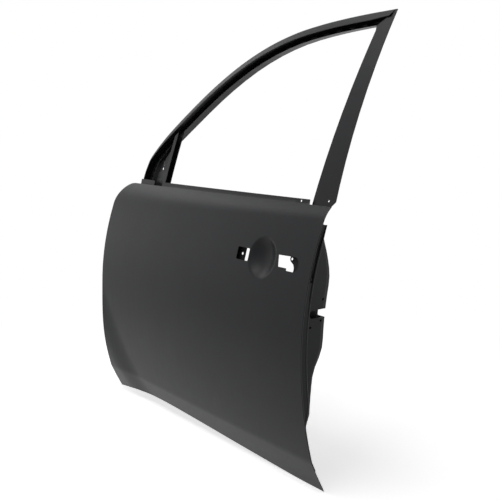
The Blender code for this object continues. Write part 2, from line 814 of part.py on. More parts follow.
def build_header_inner(material, parent, cutter):
    sections = []
    for station in header_stations():
        strip, channel, lip = header_widths(station[0][1])
        width = strip + channel + lip
        depth = header_depth(*station[0])
        path = [(strip + channel + LAP + GAP, LIP_DEPTH + LAP), (width, LIP_DEPTH + LAP), (width, depth),
                (LAP, depth), (LAP, SHEET + GAP + 0.002)]
        outline = sheet_section(path, SHEET)
        sections.append([on_frame(station, s, d) for s, d in outline])
    item = sweep("header_inner", sections, material, parent)
    cut(item, cutter)
    return item


SASH_NECK = ((0.757, 0.0), (0.747, 0.28), (0.732, 0.60), (0.714, 0.80), (SASH_NECK_Z, 1.0))


def sash_rear_x(z):
    """Rear edge of the sash, which narrows to a neck below the belt."""
    h = max(0.0, z - FRAME_Z)
    x = SASH_REAR_X + 0.015 * h + 0.13 * h * h
    share = 0.0
    if z < SASH_NECK_Z:
        share = 1.0
    for (high, s0), (low, s1) in zip(SASH_NECK, SASH_NECK[1:]):
        if low <= z <= high:
            share = blend(s1, s0, (z - low) / (high - low))
    return x - (SASH_REAR_X - SASH_NECK_X) * share


def sash_front_x(z):
    h = max(0.0, z - FRAME_Z)
    return SASH_FRONT_X + 0.128 * h + 0.07 * h * h


def sash_stations(levels):
    """Rear point, direction to the window side and width of the sash at each height."""
    stations = []
    for z in levels:
        rear = sash_rear_x(z)
        stations.append((((rear, z), (-1.0, 0.0), 1.0), rear - sash_front_x(z)))
    drop = 2 * GAP
    mitre = (CORNER_INNER_X - CORNER_X, CORNER_INNER_Z - CORNER_Z)
    length = math.hypot(*mitre)
    end = (CORNER_X, CORNER_Z - drop)
    stations.append(((end, (mitre[0] / length, mitre[1] / length), 1.0), length))
    return stations


def build_sash_outer(material, parent, cutters):
    levels = [SASH_FOOT_Z, SASH_NECK_Z, 0.714, 0.732, 0.747, 0.757, 0.80, 0.86, 0.92, 0.98, 1.04, 1.10, 1.15, 1.19]
    sections = []
    for station, width in sash_stations(levels):
        turn = 0.003 if station[0][1] > SASH_TURN_Z else SHEET + GAP
        path = [(0.0, turn), (0.0, 0.0), (width, 0.0), (width, 0.0035)]
        outline = sheet_section(path, SHEET)
        sections.append([on_frame(station, s, d) for s, d in outline])
    item = sweep("sash_outer", sections, material, parent)
    for cutter in cutters:
        cut(item, cutter)
    return item


def build_sash_inner(material, parent, cutters):
    levels = [0.742, 0.757, 0.80, 0.86, 0.92, 0.98, 1.04, 1.10, 1.15, 1.19]
    lap = LAP + SHEET
    sections = []
    for station, width in sash_stations(levels):
        box = min(SASH_BOX_START, width - 0.026)
        depth = min(SASH_DEPTH, max(SASH_CHANNEL_DEPTH + 0.0025, (box + 0.008) / SIGHT_SLOPE))
        path = [(width - 0.004, lap), (width - SASH_CHANNEL_WIDTH, lap),
                (width - SASH_CHANNEL_WIDTH, SASH_CHANNEL_DEPTH), (width, SASH_CHANNEL_DEPTH),
                (width, depth), (box + 0.008, depth), (box, lap), (0.005, lap)]
        outline = sheet_section(path, SHEET)
        sections.append([on_frame(station, s, d) for s, d in outline])
    item = sweep("sash_inner", sections, material, parent)
    for cutter in cutters:
        cut(item, cutter)
    return item


def header_edge_x(z):
    """Where the header's window side crosses a height, on the pillar's stretch."""
    previous = None
    for station in header_stations():
        width = sum(header_widths(station[0][1]))
        point = on_frame(station, width, 0.0)
        if previous is not None and previous.z <= z <= point.z:
            return blend(previous.x, point.x, (z - previous.z) / (point.z - previous.z))
        previous = point
    return previous.x


def header_edge_z(x):
    """Height of the header's window side above a place along the door."""
    previous = None
    for station in header_stations():
        width = sum(header_widths(station[0][1]))
        point = on_frame(station, width, 0.0)
        if previous is not None and previous.x <= x <= point.x and point.z > FRAME_Z:
            return blend(previous.z, point.z, (x - previous.x) / (point.x - previous.x))
        previous = point
    return previous.z


def division_x(z):
    return DIVISION_X + DIVISION_RAKE * (z - FRAME_Z)


def build_division_channel(material, parent):
    """Front glass channel: a U open to the rear, from the header down into the door."""
    levels = [DIVISION_FOOT_Z, 0.50, 0.58, 0.66, 0.745, 0.80, 0.85, 0.88]
    path = [(DIVISION_WIDTH + 0.004, DIVISION_DEPTH), (0.0, DIVISION_DEPTH), (0.0, 0.0), (DIVISION_WIDTH, 0.0)]
    outline = sheet_section(path, SHEET)
    sections = []
    for z in levels:
        station = ((division_x(z), z), (1.0, 0.0), 1.0)
        sections.append([on_frame(station, s, d) for s, d in outline])
    top = []
    for s, d in outline:
        x = division_x(0.90) + s
        z = header_edge_z(x) - 3 * GAP
        top.append(Vector((x, frame_y(x, z) + d, z)))
    sections.append(top)
    return sweep("division_channel", sections, material, parent)


def build_mirror_patch(material, parent, cutters):
    """Corner plate between header and division channel, with two grooves and a rib beside them."""
    levels = [PATCH_FOOT_Z]
    for station in header_stations():
        edge = on_frame(station, sum(header_widths(station[0][1])), 0.0)
        if PATCH_FOOT_Z < edge.z < PATCH_APEX_Z:
            levels.append(edge.z)
    levels.append(PATCH_APEX_Z)
    sections = []
    for z in levels:
        start = header_edge_x(z) + SHEET + 2 * GAP
        width = division_x(z) - 2 * GAP - start
        k = min(1.0, width / 0.085)
        path = [(0.0, LIP_DEPTH + 0.004), (0.0, PATCH_GROOVE), (0.009 * k, PATCH_GROOVE),
                (0.010 * k, PATCH_RIB), (0.0205 * k, PATCH_RIB), (0.0215 * k, PATCH_GROOVE),
                (0.036 * k, PATCH_GROOVE), (0.038 * k, PATCH_FACE), (width, PATCH_FACE)]
        outline = sheet_section(path, SHEET)
        station = ((start, z), (1.0, 0.0), 1.0)
        sections.append([on_frame(station, s, d) for s, d in outline])
    item = sweep("mirror_patch", sections, material, parent)
    for cutter in cutters:
        cut(item, cutter)
    return item


def build_header_foot(material, parent):
    """Cover plate over the header's foot, just above the skin's belt edge."""
    sections = []
    for x in (0.092, 0.115, 0.138, 0.162, 0.186):
        low = [Vector((x, frame_y(x, z) - LAP, z)) for z in (0.718, 0.735, 0.7525)]
        high = [p + Vector((0.0, SHEET, 0.0)) for p in low]
        sections.append(low + high[::-1])
    return sweep("header_foot_plate", sections, material, parent)


# Belt rails

def build_belt_outer(material, parent, cutters):
    """Rail behind the skin's top edge: its flange follows the skin and its top stands above it."""
    start = division_x(FRAME_Z) + DIVISION_WIDTH + 0.006
    end = SASH_FRONT_X - 0.0015
    count = 12
    sections = []
    for i in range(count + 1):
        x = blend(start, end, i / count)
        top = belt_z(x)
        low = off_side(x, top - 0.034, LAP)
        high = off_side(x, top - 0.012, LAP)
        edge_y = frame_y(x, top) - 0.006
        path = [(low.y, low.z), (high.y, high.z), (edge_y - 0.002, top - 0.001), (edge_y, top + 0.012)]
        outline = sheet_section([(y, z) for y, z in path], -SHEET)
        sections.append([Vector((x, y, z)) for y, z in outline])
    item = sweep("belt_rail_outer", sections, material, parent)
    for cutter in cutters:
        cut(item, cutter)
    return item


def build_belt_inner(material, parent):
    """Hat rail along the inner panel's top edge, inside the glass slot."""
    start = MAIN_WALL_FRONT + 0.14
    end = SKIN_LENGTH - MAIN_WALL_REAR - 0.012
    sections = []
    for x in (start, end):
        outline = []
        path = [(0.662, 0.0), (0.676, 0.0), (0.680, 0.010), (0.712, 0.010), (0.716, 0.0), (0.731, 0.0)]
        for z, d in sheet_section(path, SHEET):
            outline.append(Vector((x, wall_y(x, z) - GAP - d, z)))
        sections.append(outline)
    return sweep("belt_rail_inner", sections, material, parent)


# Reinforcements

def plate_on_hinge_wall(name, z_mid, height, material, parent, cutters):
    """Heavy plate behind the hinge wall, with its long edges turned back as stiffeners."""
    face = FRONT_WALL_INSET + GAP
    half = 0.5 * HINGE_PLATE_WIDTH
    path = [(HINGE_Y - half, face + 0.008), (HINGE_Y - half, face), (HINGE_Y + half, face),
            (HINGE_Y + half, face + 0.008)]
    sections = []
    for z in (z_mid - 0.5 * height, z_mid + 0.5 * height):
        outline = sheet_section(path, HEAVY_SHEET)
        sections.append([Vector((x, y, z)) for y, x in outline])
    item = sweep(name, sections, material, parent)
    for cutter in cutters:
        cut(item, cutter)
    return item


def build_nut(name, point, axis, bore, material, parent):
    """Hexagonal weld nut with a plain bore, seated on a plate."""
    bm = bmesh.new()
    sides = 6
    loops = []
    for radius, along in ((0.5 * NUT_WIDTH / math.cos(math.pi / 6), 0.0),
                          (0.5 * NUT_WIDTH / math.cos(math.pi / 6), NUT_HEIGHT), (bore, NUT_HEIGHT), (bore, 0.0)):
        ring = []
        for i in range(sides * 2):
            t = math.pi * i / sides
            r = radius
            if radius > bore:
                r = radius * math.cos(math.pi / 6) / math.cos((t + math.pi / 6) % (math.pi / 3) - math.pi / 6)
            ring.append((r * math.cos(t), r * math.sin(t), along))
        loops.append(new_row(bm, ring))
    loops.append(loops[0])
    count = sides * 2
    for first, second in zip(loops, loops[1:]):
        for i in range(count):
            j = (i + 1) % count
            bm.faces.new((first[i], first[j], second[j], second[i]))
    bmesh.ops.recalc_face_normals(bm, faces=bm.faces)
    item = place(bm, name, material, parent)
    item.location = point
    item.rotation_euler = Vector((0.0, 0.0, 1.0)).rotation_difference(Vector(axis)).to_euler()
    return item


def beam_point(share):
    """Centre of the intrusion beam at a share of its length."""
    ends = []
    for x, z in (BEAM_FRONT, BEAM_REAR):
        y = side_y(x, z) + SHEET + BEAM_STANDOFF + BEAM_RADIUS
        ends.append(Vector((x, y, z)))
    return ends[0].lerp(ends[1], share)


def build_beam(material, parent):
    """High-strength steel tube across the door, with open ends."""
    start = beam_point(0.0)
    end = beam_point(1.0)
    axis = (end - start).normalized()
    side = axis.cross(Vector((0.0, 0.0, 1.0))).normalized()
    up = side.cross(axis)
    bm = bmesh.new()
    count = 16
    loops = []
    for centre, radius in ((start, BEAM_RADIUS), (end, BEAM_RADIUS), (end, BEAM_RADIUS - BEAM_WALL),
                           (start, BEAM_RADIUS - BEAM_WALL)):
        ring = []
        for i in range(count):
            t = 2 * math.pi * i / count
            ring.append(centre + side * radius * math.cos(t) + up * radius * math.sin(t))
        loops.append(new_row(bm, ring))
    loops.append(loops[0])
    for first, second in zip(loops, loops[1:]):
        for i in range(count):
            j = (i + 1) % count
            bm.faces.new((first[i], first[j], second[j], second[i]))
    bmesh.ops.recalc_face_normals(bm, faces=bm.faces)
    item = place(bm, "intrusion_beam", material, parent)
    shade(item)
    return item


def build_beam_bracket(name, share, wall_x, inward, material, parent):
    """Angle bracket: one leg on the end wall's inner face, the other along the beam."""
    centre = beam_point(share)
    leg_y = centre.y + BEAM_RADIUS + GAP
    wall_end = leg_y + 0.022
    if inward < 0:
        wall_end = leg_y + 0.008
    far = wall_x + inward * BRACKET_LENGTH
    reach_y = beam_point((far - BEAM_FRONT[0]) / (BEAM_REAR[0] - BEAM_FRONT[0])).y + BEAM_RADIUS + GAP
    path = [(wall_x, wall_end), (wall_x, leg_y + 0.001), (far, reach_y + 0.0006)]
    sections = []
    for z in (centre.z - 0.5 * BRACKET_HEIGHT, centre.z + 0.5 * BRACKET_HEIGHT):
        outline = sheet_section(path, HEAVY_SHEET * inward)
        sections.append([Vector((x, y, z)) for x, y in outline])
    return sweep(name, sections, material, parent)


def build_pad(name, x, material, parent):
    """Anti-flutter pad that fills the space between the beam and the skin."""
    share = (x - BEAM_FRONT[0]) / (BEAM_REAR[0] - BEAM_FRONT[0])
    centre = beam_point(share)
    sections = []
    for dx in (-0.5, -0.17, 0.17, 0.5):
        px = x + dx * PAD_LENGTH
        mid = beam_point((px - BEAM_FRONT[0]) / (BEAM_REAR[0] - BEAM_FRONT[0]))
        inner_y = mid.y - BEAM_RADIUS - 2 * GAP
        low = centre.z - 0.5 * PAD_HEIGHT
        high = centre.z + 0.5 * PAD_HEIGHT
        outer = [off_side(px, z, LAP + GAP) for z in (low, centre.z, high)]
        inner = [Vector((px, inner_y, z)) for z in (low, centre.z, high)]
        sections.append(outer + inner[::-1])
    return sweep(name, sections, material, parent)


def build_handle_bracket(material, parent, cutters):
    """Stiffener behind the handle dish: two flanges on the skin and a raised plate between them."""
    reaches = (-0.157, -0.141, -0.135, -0.099, -0.059, -0.019, 0.021, 0.061, 0.101, 0.141, 0.1545, 0.1605,
               0.171)
    xs = [DISH_X + reach for reach in reaches]
    zs = (0.515, 0.545, 0.575, 0.605, 0.635, 0.672)
    offsets = [LAP, LAP] + [0.012] * 9 + [LAP, LAP]
    bm = bmesh.new()
    rows = []
    for z in zs:
        rows.append(new_row(bm, [off_side(x, z, d) for x, d in zip(xs, offsets)]))
    add_grid(bm, rows)
    item = place(bm, "handle_bracket", material, parent)
    shade(item)
    solidify(item, SHEET)
    for cutter in cutters:
        cut(item, cutter)
    return item


def build_rear_glass_channel(material, parent):
    """Lower run channel for the rear edge of the glass, below the sash, inside the door."""
    sections = []
    back = LAP + GUIDE_DEPTH
    path = [(GUIDE_WIDTH, back), (0.0, back), (0.0, LAP), (GUIDE_WIDTH, LAP)]
    outline = sheet_section(path, SHEET)
    for z in (GUIDE_FOOT_Z, 0.52, 0.60, SASH_FOOT_Z, GUIDE_TOP_Z):
        station = ((GUIDE_X, z), (-1.0, 0.0), 1.0)
        sections.append([on_frame(station, s, d) for s, d in outline])
    return sweep("rear_glass_channel", sections, material, parent)


def build_latch_plate(material, parent, cutters):
    """Heavy plate inside the latch wall, with the latch's mouth and screw holes."""
    wall_x = SKIN_LENGTH - REAR_WALL_INSET - GAP
    low_z, high_z = LATCH_PLATE_Z
    outline = ((0.042, low_z), (0.088, low_z), (0.094, low_z + 0.006), (0.104, high_z - 0.008),
               (0.098, high_z), (0.042, high_z), (0.034, high_z - 0.008), (0.034, low_z + 0.008))
    sections = []
    for x in (wall_x, wall_x - HEAVY_SHEET):
        sections.append([Vector((x, y, z)) for y, z in outline])
    bm = bmesh.new()
    near = new_row(bm, sections[0])
    far = new_row(bm, sections[1])
    bm.faces.new(near)
    bm.faces.new(list(reversed(far)))
    for i in range(len(near)):
        j = (i + 1) % len(near)
        bm.faces.new((near[i], far[i], far[j], near[j]))
    bmesh.ops.recalc_face_normals(bm, faces=bm.faces)
    item = place(bm, "latch_plate", material, parent)
    shade(item)
    for cutter in cutters:
        cut(item, cutter)
    return item


# Cutters shared by the pieces that one hole goes through

def latch_cutters(parent):
    low_x = SKIN_LENGTH - REAR_WALL_INSET - 0.030
    high_x = SKIN_LENGTH - REAR_WALL_INSET + 0.006
    half = 0.5 * LATCH_MOUTH_HEIGHT
    mouth = rounded_box(LATCH_MOUTH_START, 0.130, LATCH_Z - half, LATCH_Z + half, 0.009, 3)
    cutters = [prism("latch_mouth_cutter", mouth, "X", low_x, high_x, parent)]
    holes = ((0.0955, 0.505), (0.0880, 0.449), (0.0525, 0.4355))
    for i, (y, z) in enumerate(holes):
        outline = circle(y, z, LATCH_HOLE_RADIUS, 10)
        name = "latch_screw_cutter_" + str(i + 1)
        cutters.append(prism(name, outline, "X", high_x - 0.018, high_x, parent))
    return cutters


def hinge_cutters(parent):
    low_x = FRONT_WALL_INSET - 0.006
    high_x = FRONT_WALL_INSET + 0.007
    cutters = {}
    for name, z_mid in (("upper", HINGE_UPPER_Z), ("lower", HINGE_LOWER_Z)):
        group = []
        for i, side in enumerate((-0.5, 0.5)):
            outline = circle(HINGE_Y, z_mid + side * HINGE_BOLT_PITCH, BOLT_HOLE_RADIUS, 12)
            label = "hinge_" + name + "_cutter_" + str(i + 1)
            group.append(prism(label, outline, "X", low_x, high_x, parent))
        cutters[name] = group
    check = []
    for i, side in enumerate((-0.5, 0.5)):
        outline = circle(HINGE_Y, CHECK_Z + side * CHECK_BOLT_PITCH, CHECK_HOLE_RADIUS, 10)
        check.append(prism("check_bolt_cutter_" + str(i + 1), outline, "X", low_x, high_x, parent))
    slot = rounded_box(HINGE_Y - 0.5 * CHECK_SLOT_WIDTH, HINGE_Y + 0.5 * CHECK_SLOT_WIDTH,
                       CHECK_Z - 0.5 * CHECK_SLOT_HEIGHT, CHECK_Z + 0.5 * CHECK_SLOT_HEIGHT, 0.003, 2)
    check.append(prism("check_slot_cutter", slot, "X", low_x, high_x, parent))
    cutters["check"] = check
    return cutters


def handle_cutters(parent):
    """Clear the dish's bowl and the rear aperture's front half, and leave one hole each side."""
    bowl = circle(DISH_X, DISH_Z, DISH_RADIUS + 0.0055, 28)
    slit = rounded_box(DISH_X - 0.0880, DISH_X, APERTURE_Z - 0.026, APERTURE_Z + 0.020, 0.003, 1)
    window = rounded_box(DISH_X, DISH_X + 0.0960, APERTURE_Z - 0.026, APERTURE_Z + 0.022, 0.003, 1)
    front_hole = circle(DISH_X - 0.1025, APERTURE_Z - 0.003, 0.0038, 10)
    rear_hole = circle(DISH_X + 0.1075, APERTURE_Z + 0.010, 0.0038, 10)
    outlines = (("bowl", bowl), ("slit", slit), ("window", window), ("front_hole", front_hole), ("rear_hole", rear_hole))
    return [prism("bracket_" + name + "_cutter", outline, "Y", -0.05, 0.12, parent) for name, outline in outlines]


def main():
    clear_scene()
    coat = make_material("e_coat_steel", E_COAT, 0.42, 0.0)
    mastic = make_material("mastic", MASTIC, 0.8, 0.0)

    door = bpy.data.objects.new("door_origin", None)
    bpy.context.scene.collection.objects.link(door)
    door.location = (SHEET - FRONT_WALL_INSET, -HINGE_Y, -HINGE_UPPER_Z)

    latch = latch_cutters(door)
    hinge = hinge_cutters(door)
    sash_hole = prism("sash_hole_cutter", circle(SASH_REAR_X - 0.0257, 0.7592, 0.004, 10), "Y", 0.09, 0.14, door)
    access = prism("sash_access_cutter", circle(SASH_REAR_X - 0.062, 0.7570, 0.010, 12), "Y", 0.13, 0.20, door)
    rail_hole = prism("rail_hole_cutter", circle(SASH_FRONT_X - 0.0358, 0.7518, 0.003, 8), "Y", 0.07, 0.15, door)
    slot = prism("mirror_slot_cutter", rounded_box(0.187, 0.194, 0.802, 0.828, 0.003, 2), "Y", 0.10, 0.25, door)
    round_hole = prism("mirror_hole_cutter", circle(0.1904, 0.7915, 0.004, 10), "Y", 0.10, 0.25, door)

    build_outer_skin(coat, door)
    build_inner_panel(coat, door, latch + hinge["upper"] + hinge["lower"] + hinge["check"])
    header_cutter = header_end_cutter(door)
    build_header_outer(coat, door, header_cutter)
    build_header_inner(coat, door, header_cutter)
    build_sash_outer(coat, door, [sash_hole])
    build_sash_inner(coat, door, [sash_hole, access])
    build_division_channel(coat, door)
    build_mirror_patch(coat, door, [slot, round_hole])
    build_header_foot(coat, door)
    build_belt_outer(coat, door, [rail_hole])
    build_belt_inner(coat, door)
    plate_on_hinge_wall("hinge_plate_upper", HINGE_UPPER_Z, HINGE_PLATE_HEIGHT, coat, door, hinge["upper"])
    plate_on_hinge_wall("hinge_plate_lower", HINGE_LOWER_Z, HINGE_PLATE_HEIGHT, coat, door, hinge["lower"])
    plate_on_hinge_wall("check_link_plate", CHECK_Z, CHECK_PLATE_HEIGHT, coat, door, hinge["check"])
    seat = FRONT_WALL_INSET + GAP + HEAVY_SHEET + GAP
    nuts = (("hinge_nut_upper", HINGE_UPPER_Z, HINGE_BOLT_PITCH, 0.004),
            ("hinge_nut_lower", HINGE_LOWER_Z, HINGE_BOLT_PITCH, 0.004),
            ("check_nut", CHECK_Z, CHECK_BOLT_PITCH, 0.003))
    for name, z_mid, pitch, bore in nuts:
        for i, side in enumerate((0.5, -0.5)):
            point = (seat, HINGE_Y, z_mid + side * pitch)
            build_nut(name + "_" + str(i + 1), point, (1.0, 0.0, 0.0), bore, coat, door)
    build_beam(coat, door)
    build_beam_bracket("beam_bracket_front", 0.0, FRONT_WALL_INSET + GAP, 1, coat, door)
    rear_wall = SKIN_LENGTH - REAR_WALL_INSET - GAP
    build_beam_bracket("beam_bracket_rear", 1.0, rear_wall, -1, coat, door)
    for i, x in enumerate(PAD_XS):
        build_pad("flutter_pad_" + str(i + 1), x, mastic, door)
    build_handle_bracket(coat, door, handle_cutters(door))
    build_rear_glass_channel(coat, door)
    build_latch_plate(coat, door, latch)


main()
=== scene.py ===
# %% [markdown]
# # A car door shell in satin black primer
# The solid model of a front left door shell is loaded, painted with procedural materials, and
# photographed in a small white studio. A dark satin surface shows its form by reflections, so the
# pieces that catch the light are drawn with fine steps and smooth normals.

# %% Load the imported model
import math

import bmesh
import bpy
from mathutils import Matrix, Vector


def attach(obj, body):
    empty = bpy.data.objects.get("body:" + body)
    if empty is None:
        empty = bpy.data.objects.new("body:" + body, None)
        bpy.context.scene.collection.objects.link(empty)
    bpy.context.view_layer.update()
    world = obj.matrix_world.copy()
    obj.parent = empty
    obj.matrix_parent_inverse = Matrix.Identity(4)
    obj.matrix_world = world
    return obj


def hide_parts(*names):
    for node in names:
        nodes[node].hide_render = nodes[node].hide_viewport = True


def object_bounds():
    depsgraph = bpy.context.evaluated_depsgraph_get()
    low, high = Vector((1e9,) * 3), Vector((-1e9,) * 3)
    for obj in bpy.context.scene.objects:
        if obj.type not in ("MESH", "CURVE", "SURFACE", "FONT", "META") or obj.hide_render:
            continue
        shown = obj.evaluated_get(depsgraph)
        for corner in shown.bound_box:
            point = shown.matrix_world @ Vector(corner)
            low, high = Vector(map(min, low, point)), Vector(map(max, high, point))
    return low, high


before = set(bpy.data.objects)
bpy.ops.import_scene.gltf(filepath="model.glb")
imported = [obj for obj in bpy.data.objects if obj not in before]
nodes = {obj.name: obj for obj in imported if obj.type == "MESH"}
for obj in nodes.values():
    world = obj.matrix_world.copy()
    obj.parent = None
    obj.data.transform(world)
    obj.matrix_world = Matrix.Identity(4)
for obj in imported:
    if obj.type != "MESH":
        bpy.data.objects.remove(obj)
cad_box = [list(corner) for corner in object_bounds()]
print("pieces:", len(nodes))
print("box low and high:", [[round(v, 3) for v in corner] for corner in cad_box])

# %% [markdown]
# ## Camera
# A camera is described by where it stands, which way it looks and how long its lens is. Looking
# along +Y is a rotation of 90 degrees about X, so the tilt below the horizon is taken off that.

# %% Place the camera
CAMERA_PLACE = Vector((2.6478, -1.489, 0.391))
CAMERA_TURN = 52.602
CAMERA_TILT = 9.29
LENS_MM = 62.04
SENSOR_MM = 36.0

scene = bpy.context.scene
scene.view_settings.view_transform = "Standard"


def add_object(name, data):
    """New object for a mesh, a light or a camera, linked to the scene."""
    item = bpy.data.objects.new(name, data)
    scene.collection.objects.link(item)
    return item


camera_data = bpy.data.cameras.new("camera")
camera_data.lens = LENS_MM
camera_data.sensor_width = SENSOR_MM
camera = add_object("camera", camera_data)
camera.location = CAMERA_PLACE
camera.rotation_euler = (math.radians(90 - CAMERA_TILT), 0.0, math.radians(CAMERA_TURN))
scene.camera = camera
print("distance to the door:", round(CAMERA_PLACE.length, 2), "m")

# %% [markdown]
# ## Colour and node helpers
# Colours are picked on a screen as sRGB, but a renderer adds light in linear values. One function
# converts them. Another adds a node with its settings and links, so each material reads as a list.
# Every finish here is a colour, a roughness and a bump that each follow a pattern, so one more
# function joins three patterns to the shader.

# %% Helpers for colours and nodes
PATTERN_LOW = 0.25
PATTERN_HIGH = 0.75


def screen_colour(code):
    """Linear colour from an sRGB code such as '#2a2b2d'."""
    values = []
    for i in (1, 3, 5):
        c = int(code[i:i + 2], 16) / 255.0
        values.append(c / 12.92 if c <= 0.04045 else ((c + 0.055) / 1.055) ** 2.4)
    return (*values, 1.0)


def add_node(tree, kind, settings=None, values=None, links=None):
    """New node; settings are its properties, values its input numbers, links its input sockets."""
    node = tree.nodes.new(kind)
    for name, value in (settings or {}).items():
        setattr(node, name, value)
    for name, value in (values or {}).items():
        node.inputs[name].default_value = value
    for name, socket in (links or {}).items():
        tree.links.new(socket, node.inputs[name])
    return node


def new_material(name):
    """New material with its node tree and its Principled shader."""
    material = bpy.data.materials.new(name)
    material.use_nodes = True
    return material, material.node_tree, material.node_tree.nodes["Principled BSDF"]


def join_patterns(tree, shader, tint, shades, wear, roughness, relief, depth):
    """Colour between two shades follows tint, roughness follows wear, and bump follows relief."""
    share = add_node(tree, "ShaderNodeMapRange", links={"Value": tint},
                     values={"From Min": PATTERN_LOW, "From Max": PATTERN_HIGH})
    # Sockets 6 and 7 of a mix node are its two colours, and output 2 is the mixed one.
    colour = add_node(tree, "ShaderNodeMix", {"data_type": "RGBA"},
                      {6: screen_colour(shades[0]), 7: screen_colour(shades[1])},
                      {0: share.outputs["Result"]})
    tree.links.new(colour.outputs[2], shader.inputs["Base Color"])
    gloss = add_node(tree, "ShaderNodeMapRange", links={"Value": wear},
                     values={"To Min": roughness[0], "To Max": roughness[1]})
    tree.links.new(gloss.outputs["Result"], shader.inputs["Roughness"])
    bump = add_node(tree, "ShaderNodeBump", values={"Strength": 1.0, "Distance": depth},
                    links={"Height": relief})
    tree.links.new(bump.outputs["Normal"], shader.inputs["Normal"])


print("black primer on screen, linear:", [round(v, 4) for v in screen_colour("#18191b")[:3]])

# %% [markdown]
# ## Electro-coat primer on pressed steel
# E-coat is a thin epoxy film that a body gets in a dip tank. It is black, evenly satin, and follows
# every form of the steel. Close up it has an orange peel and faint runs where the bath drained. The
# real peel is about a millimetre across, too fine for this picture, so it is drawn at 7 mm. Pattern
# sizes are given in metres, and a texture's scale is one divided by that size.

# %% Make the primer
CLOUD_SIZE = 0.18
RUN_WIDTH = 0.011
RUN_SQUEEZE = 0.06
PEEL_SIZE = 0.007
PRIMER_IOR = 1.45
# Baked e-coat is a little porous, so it reflects less than a smooth film of the same IOR.
PRIMER_SPECULAR = 0.2


def primer_material(name, shades, roughness, peel_depth, run_strength):
    """Black e-coat primer; peel_depth is in metres, run_strength changes the gloss of the runs."""
    material, tree, shader = new_material(name)
    place = add_node(tree, "ShaderNodeTexCoord").outputs["Object"]
    cloud = add_node(tree, "ShaderNodeTexNoise", values={"Scale": 1 / CLOUD_SIZE, "Detail": 3.0},
                     links={"Vector": place})
    drained = add_node(tree, "ShaderNodeMapping", values={"Scale": (1.0, 1.0, RUN_SQUEEZE)},
                       links={"Vector": place})
    runs = add_node(tree, "ShaderNodeTexNoise", values={"Scale": 1 / RUN_WIDTH, "Detail": 4.0},
                    links={"Vector": drained.outputs["Vector"]})
    peel = add_node(tree, "ShaderNodeTexNoise", values={"Scale": 1 / PEEL_SIZE, "Detail": 1.0},
                    links={"Vector": place})
    join_patterns(tree, shader, cloud.outputs["Fac"], shades, runs.outputs["Fac"],
                  (roughness - run_strength, roughness + run_strength),
                  peel.outputs["Fac"], peel_depth)
    shader.inputs["IOR"].default_value = PRIMER_IOR
    shader.inputs["Specular IOR Level"].default_value = PRIMER_SPECULAR
    return material


panel_primer = primer_material("e_coat_on_deep_drawing_steel", ("#18191b", "#1e1f21"),
                               roughness=0.40, peel_depth=0.00003, run_strength=0.04)
frame_primer = primer_material("e_coat_on_rolled_frame_steel", ("#18181a", "#1d1e20"),
                               roughness=0.36, peel_depth=0.00001, run_strength=0.04)
plate_primer = primer_material("e_coat_on_heavy_plate", ("#151617", "#1b1c1d"),
                               roughness=0.48, peel_depth=0.00004, run_strength=0.06)
print("primer materials:", panel_primer.name, frame_primer.name, plate_primer.name)

# %% [markdown]
# ## Mastic
# The anti-flutter pads are a heavy rubbery paste, put on wet and cured in the oven. It is duller
# than the primer, and its skin is lumpy at about 6 mm. One noise drives its colour, roughness and
# bump, because on a real lump all three change together. The near-black finishes of the plugs and
# the handle carrier further down carry painted shade, and they are made by the same function.

# %% Make the mastic
def grained_material(name, grain, detail, shades, roughness, depth, specular):
    """Matt finish with one grain, its size and depth in metres."""
    material, tree, shader = new_material(name)
    place = add_node(tree, "ShaderNodeTexCoord").outputs["Object"]
    noise = add_node(tree, "ShaderNodeTexNoise", values={"Scale": 1 / grain, "Detail": detail},
                     links={"Vector": place})
    pattern = noise.outputs["Fac"]
    join_patterns(tree, shader, pattern, shades, pattern, roughness, pattern, depth)
    shader.inputs["Specular IOR Level"].default_value = specular
    return material


mastic = grained_material("cured_mastic", grain=0.006, detail=5.0, shades=("#33312f", "#45423f"),
                          roughness=(0.75, 0.92), depth=0.0006, specular=0.5)
print("mastic:", mastic.name)

# %% [markdown]
# ## Painting the pieces
# Each CAD piece keeps its shape and only gets a better material. The two big pressings share the
# panel primer, the window frame has its own, and everything thick gets the duller plate primer.

# %% Assign a material to every piece
PANELS = ("outer_skin", "inner_panel")
FRAME = ("header", "sash", "mirror", "division", "belt")


def paint(item, material):
    """Puts one material in every slot of a piece."""
    for slot in item.material_slots:
        slot.material = material


for name, item in nodes.items():
    if "pad" in name:
        paint(item, mastic)
    elif name in PANELS:
        paint(item, panel_primer)
    elif name.startswith(FRAME):
        paint(item, frame_primer)
    else:
        paint(item, plate_primer)
print("painted:", len(nodes), "pieces")

# %% [markdown]
# ## Mesh helpers
# A pressing is drawn as a grid of points and gets its thickness from the Solidify modifier. A
# rolled or extruded piece is a row of closed rings joined by quads. Holes are cut with Boolean
# modifiers, which are applied at the end, so the cutters can be removed. Points are measured from
# the door's own lower front corner, and the frame's origin lies on the upper hinge.

# %% Meshes, grids and rings
DOOR_CORNER = Vector((0.0452, 0.110, 0.600))
SHARP_ANGLE = 35.0


def mesh_from(name, bm):
    """Mesh made from a bmesh, which is freed."""
    mesh = bpy.data.meshes.new(name)
    bm.to_mesh(mesh)
    bm.free()
    return mesh


def smooth_shade(mesh, angle):
    """Smooth shading, broken where faces meet at more than an angle in degrees."""
    mesh.shade_smooth()
    mesh.set_sharp_from_angle(angle=math.radians(angle))


def finished(name, bm, material, sharp_angle=SHARP_ANGLE):
    """Object made from a bmesh, smooth shaded except along sharp edges, riding with the door."""
    bmesh.ops.recalc_face_normals(bm, faces=bm.faces)
    mesh = mesh_from(name, bm)
    smooth_shade(mesh, sharp_angle)
    mesh.materials.append(material)
    item = add_object(name, mesh)
    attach(item, "root")
    return item


def new_row(bm, points):
    """Row of vertices at points measured from the door's corner."""
    return [bm.verts.new(Vector(point) - DOOR_CORNER) for point in points]


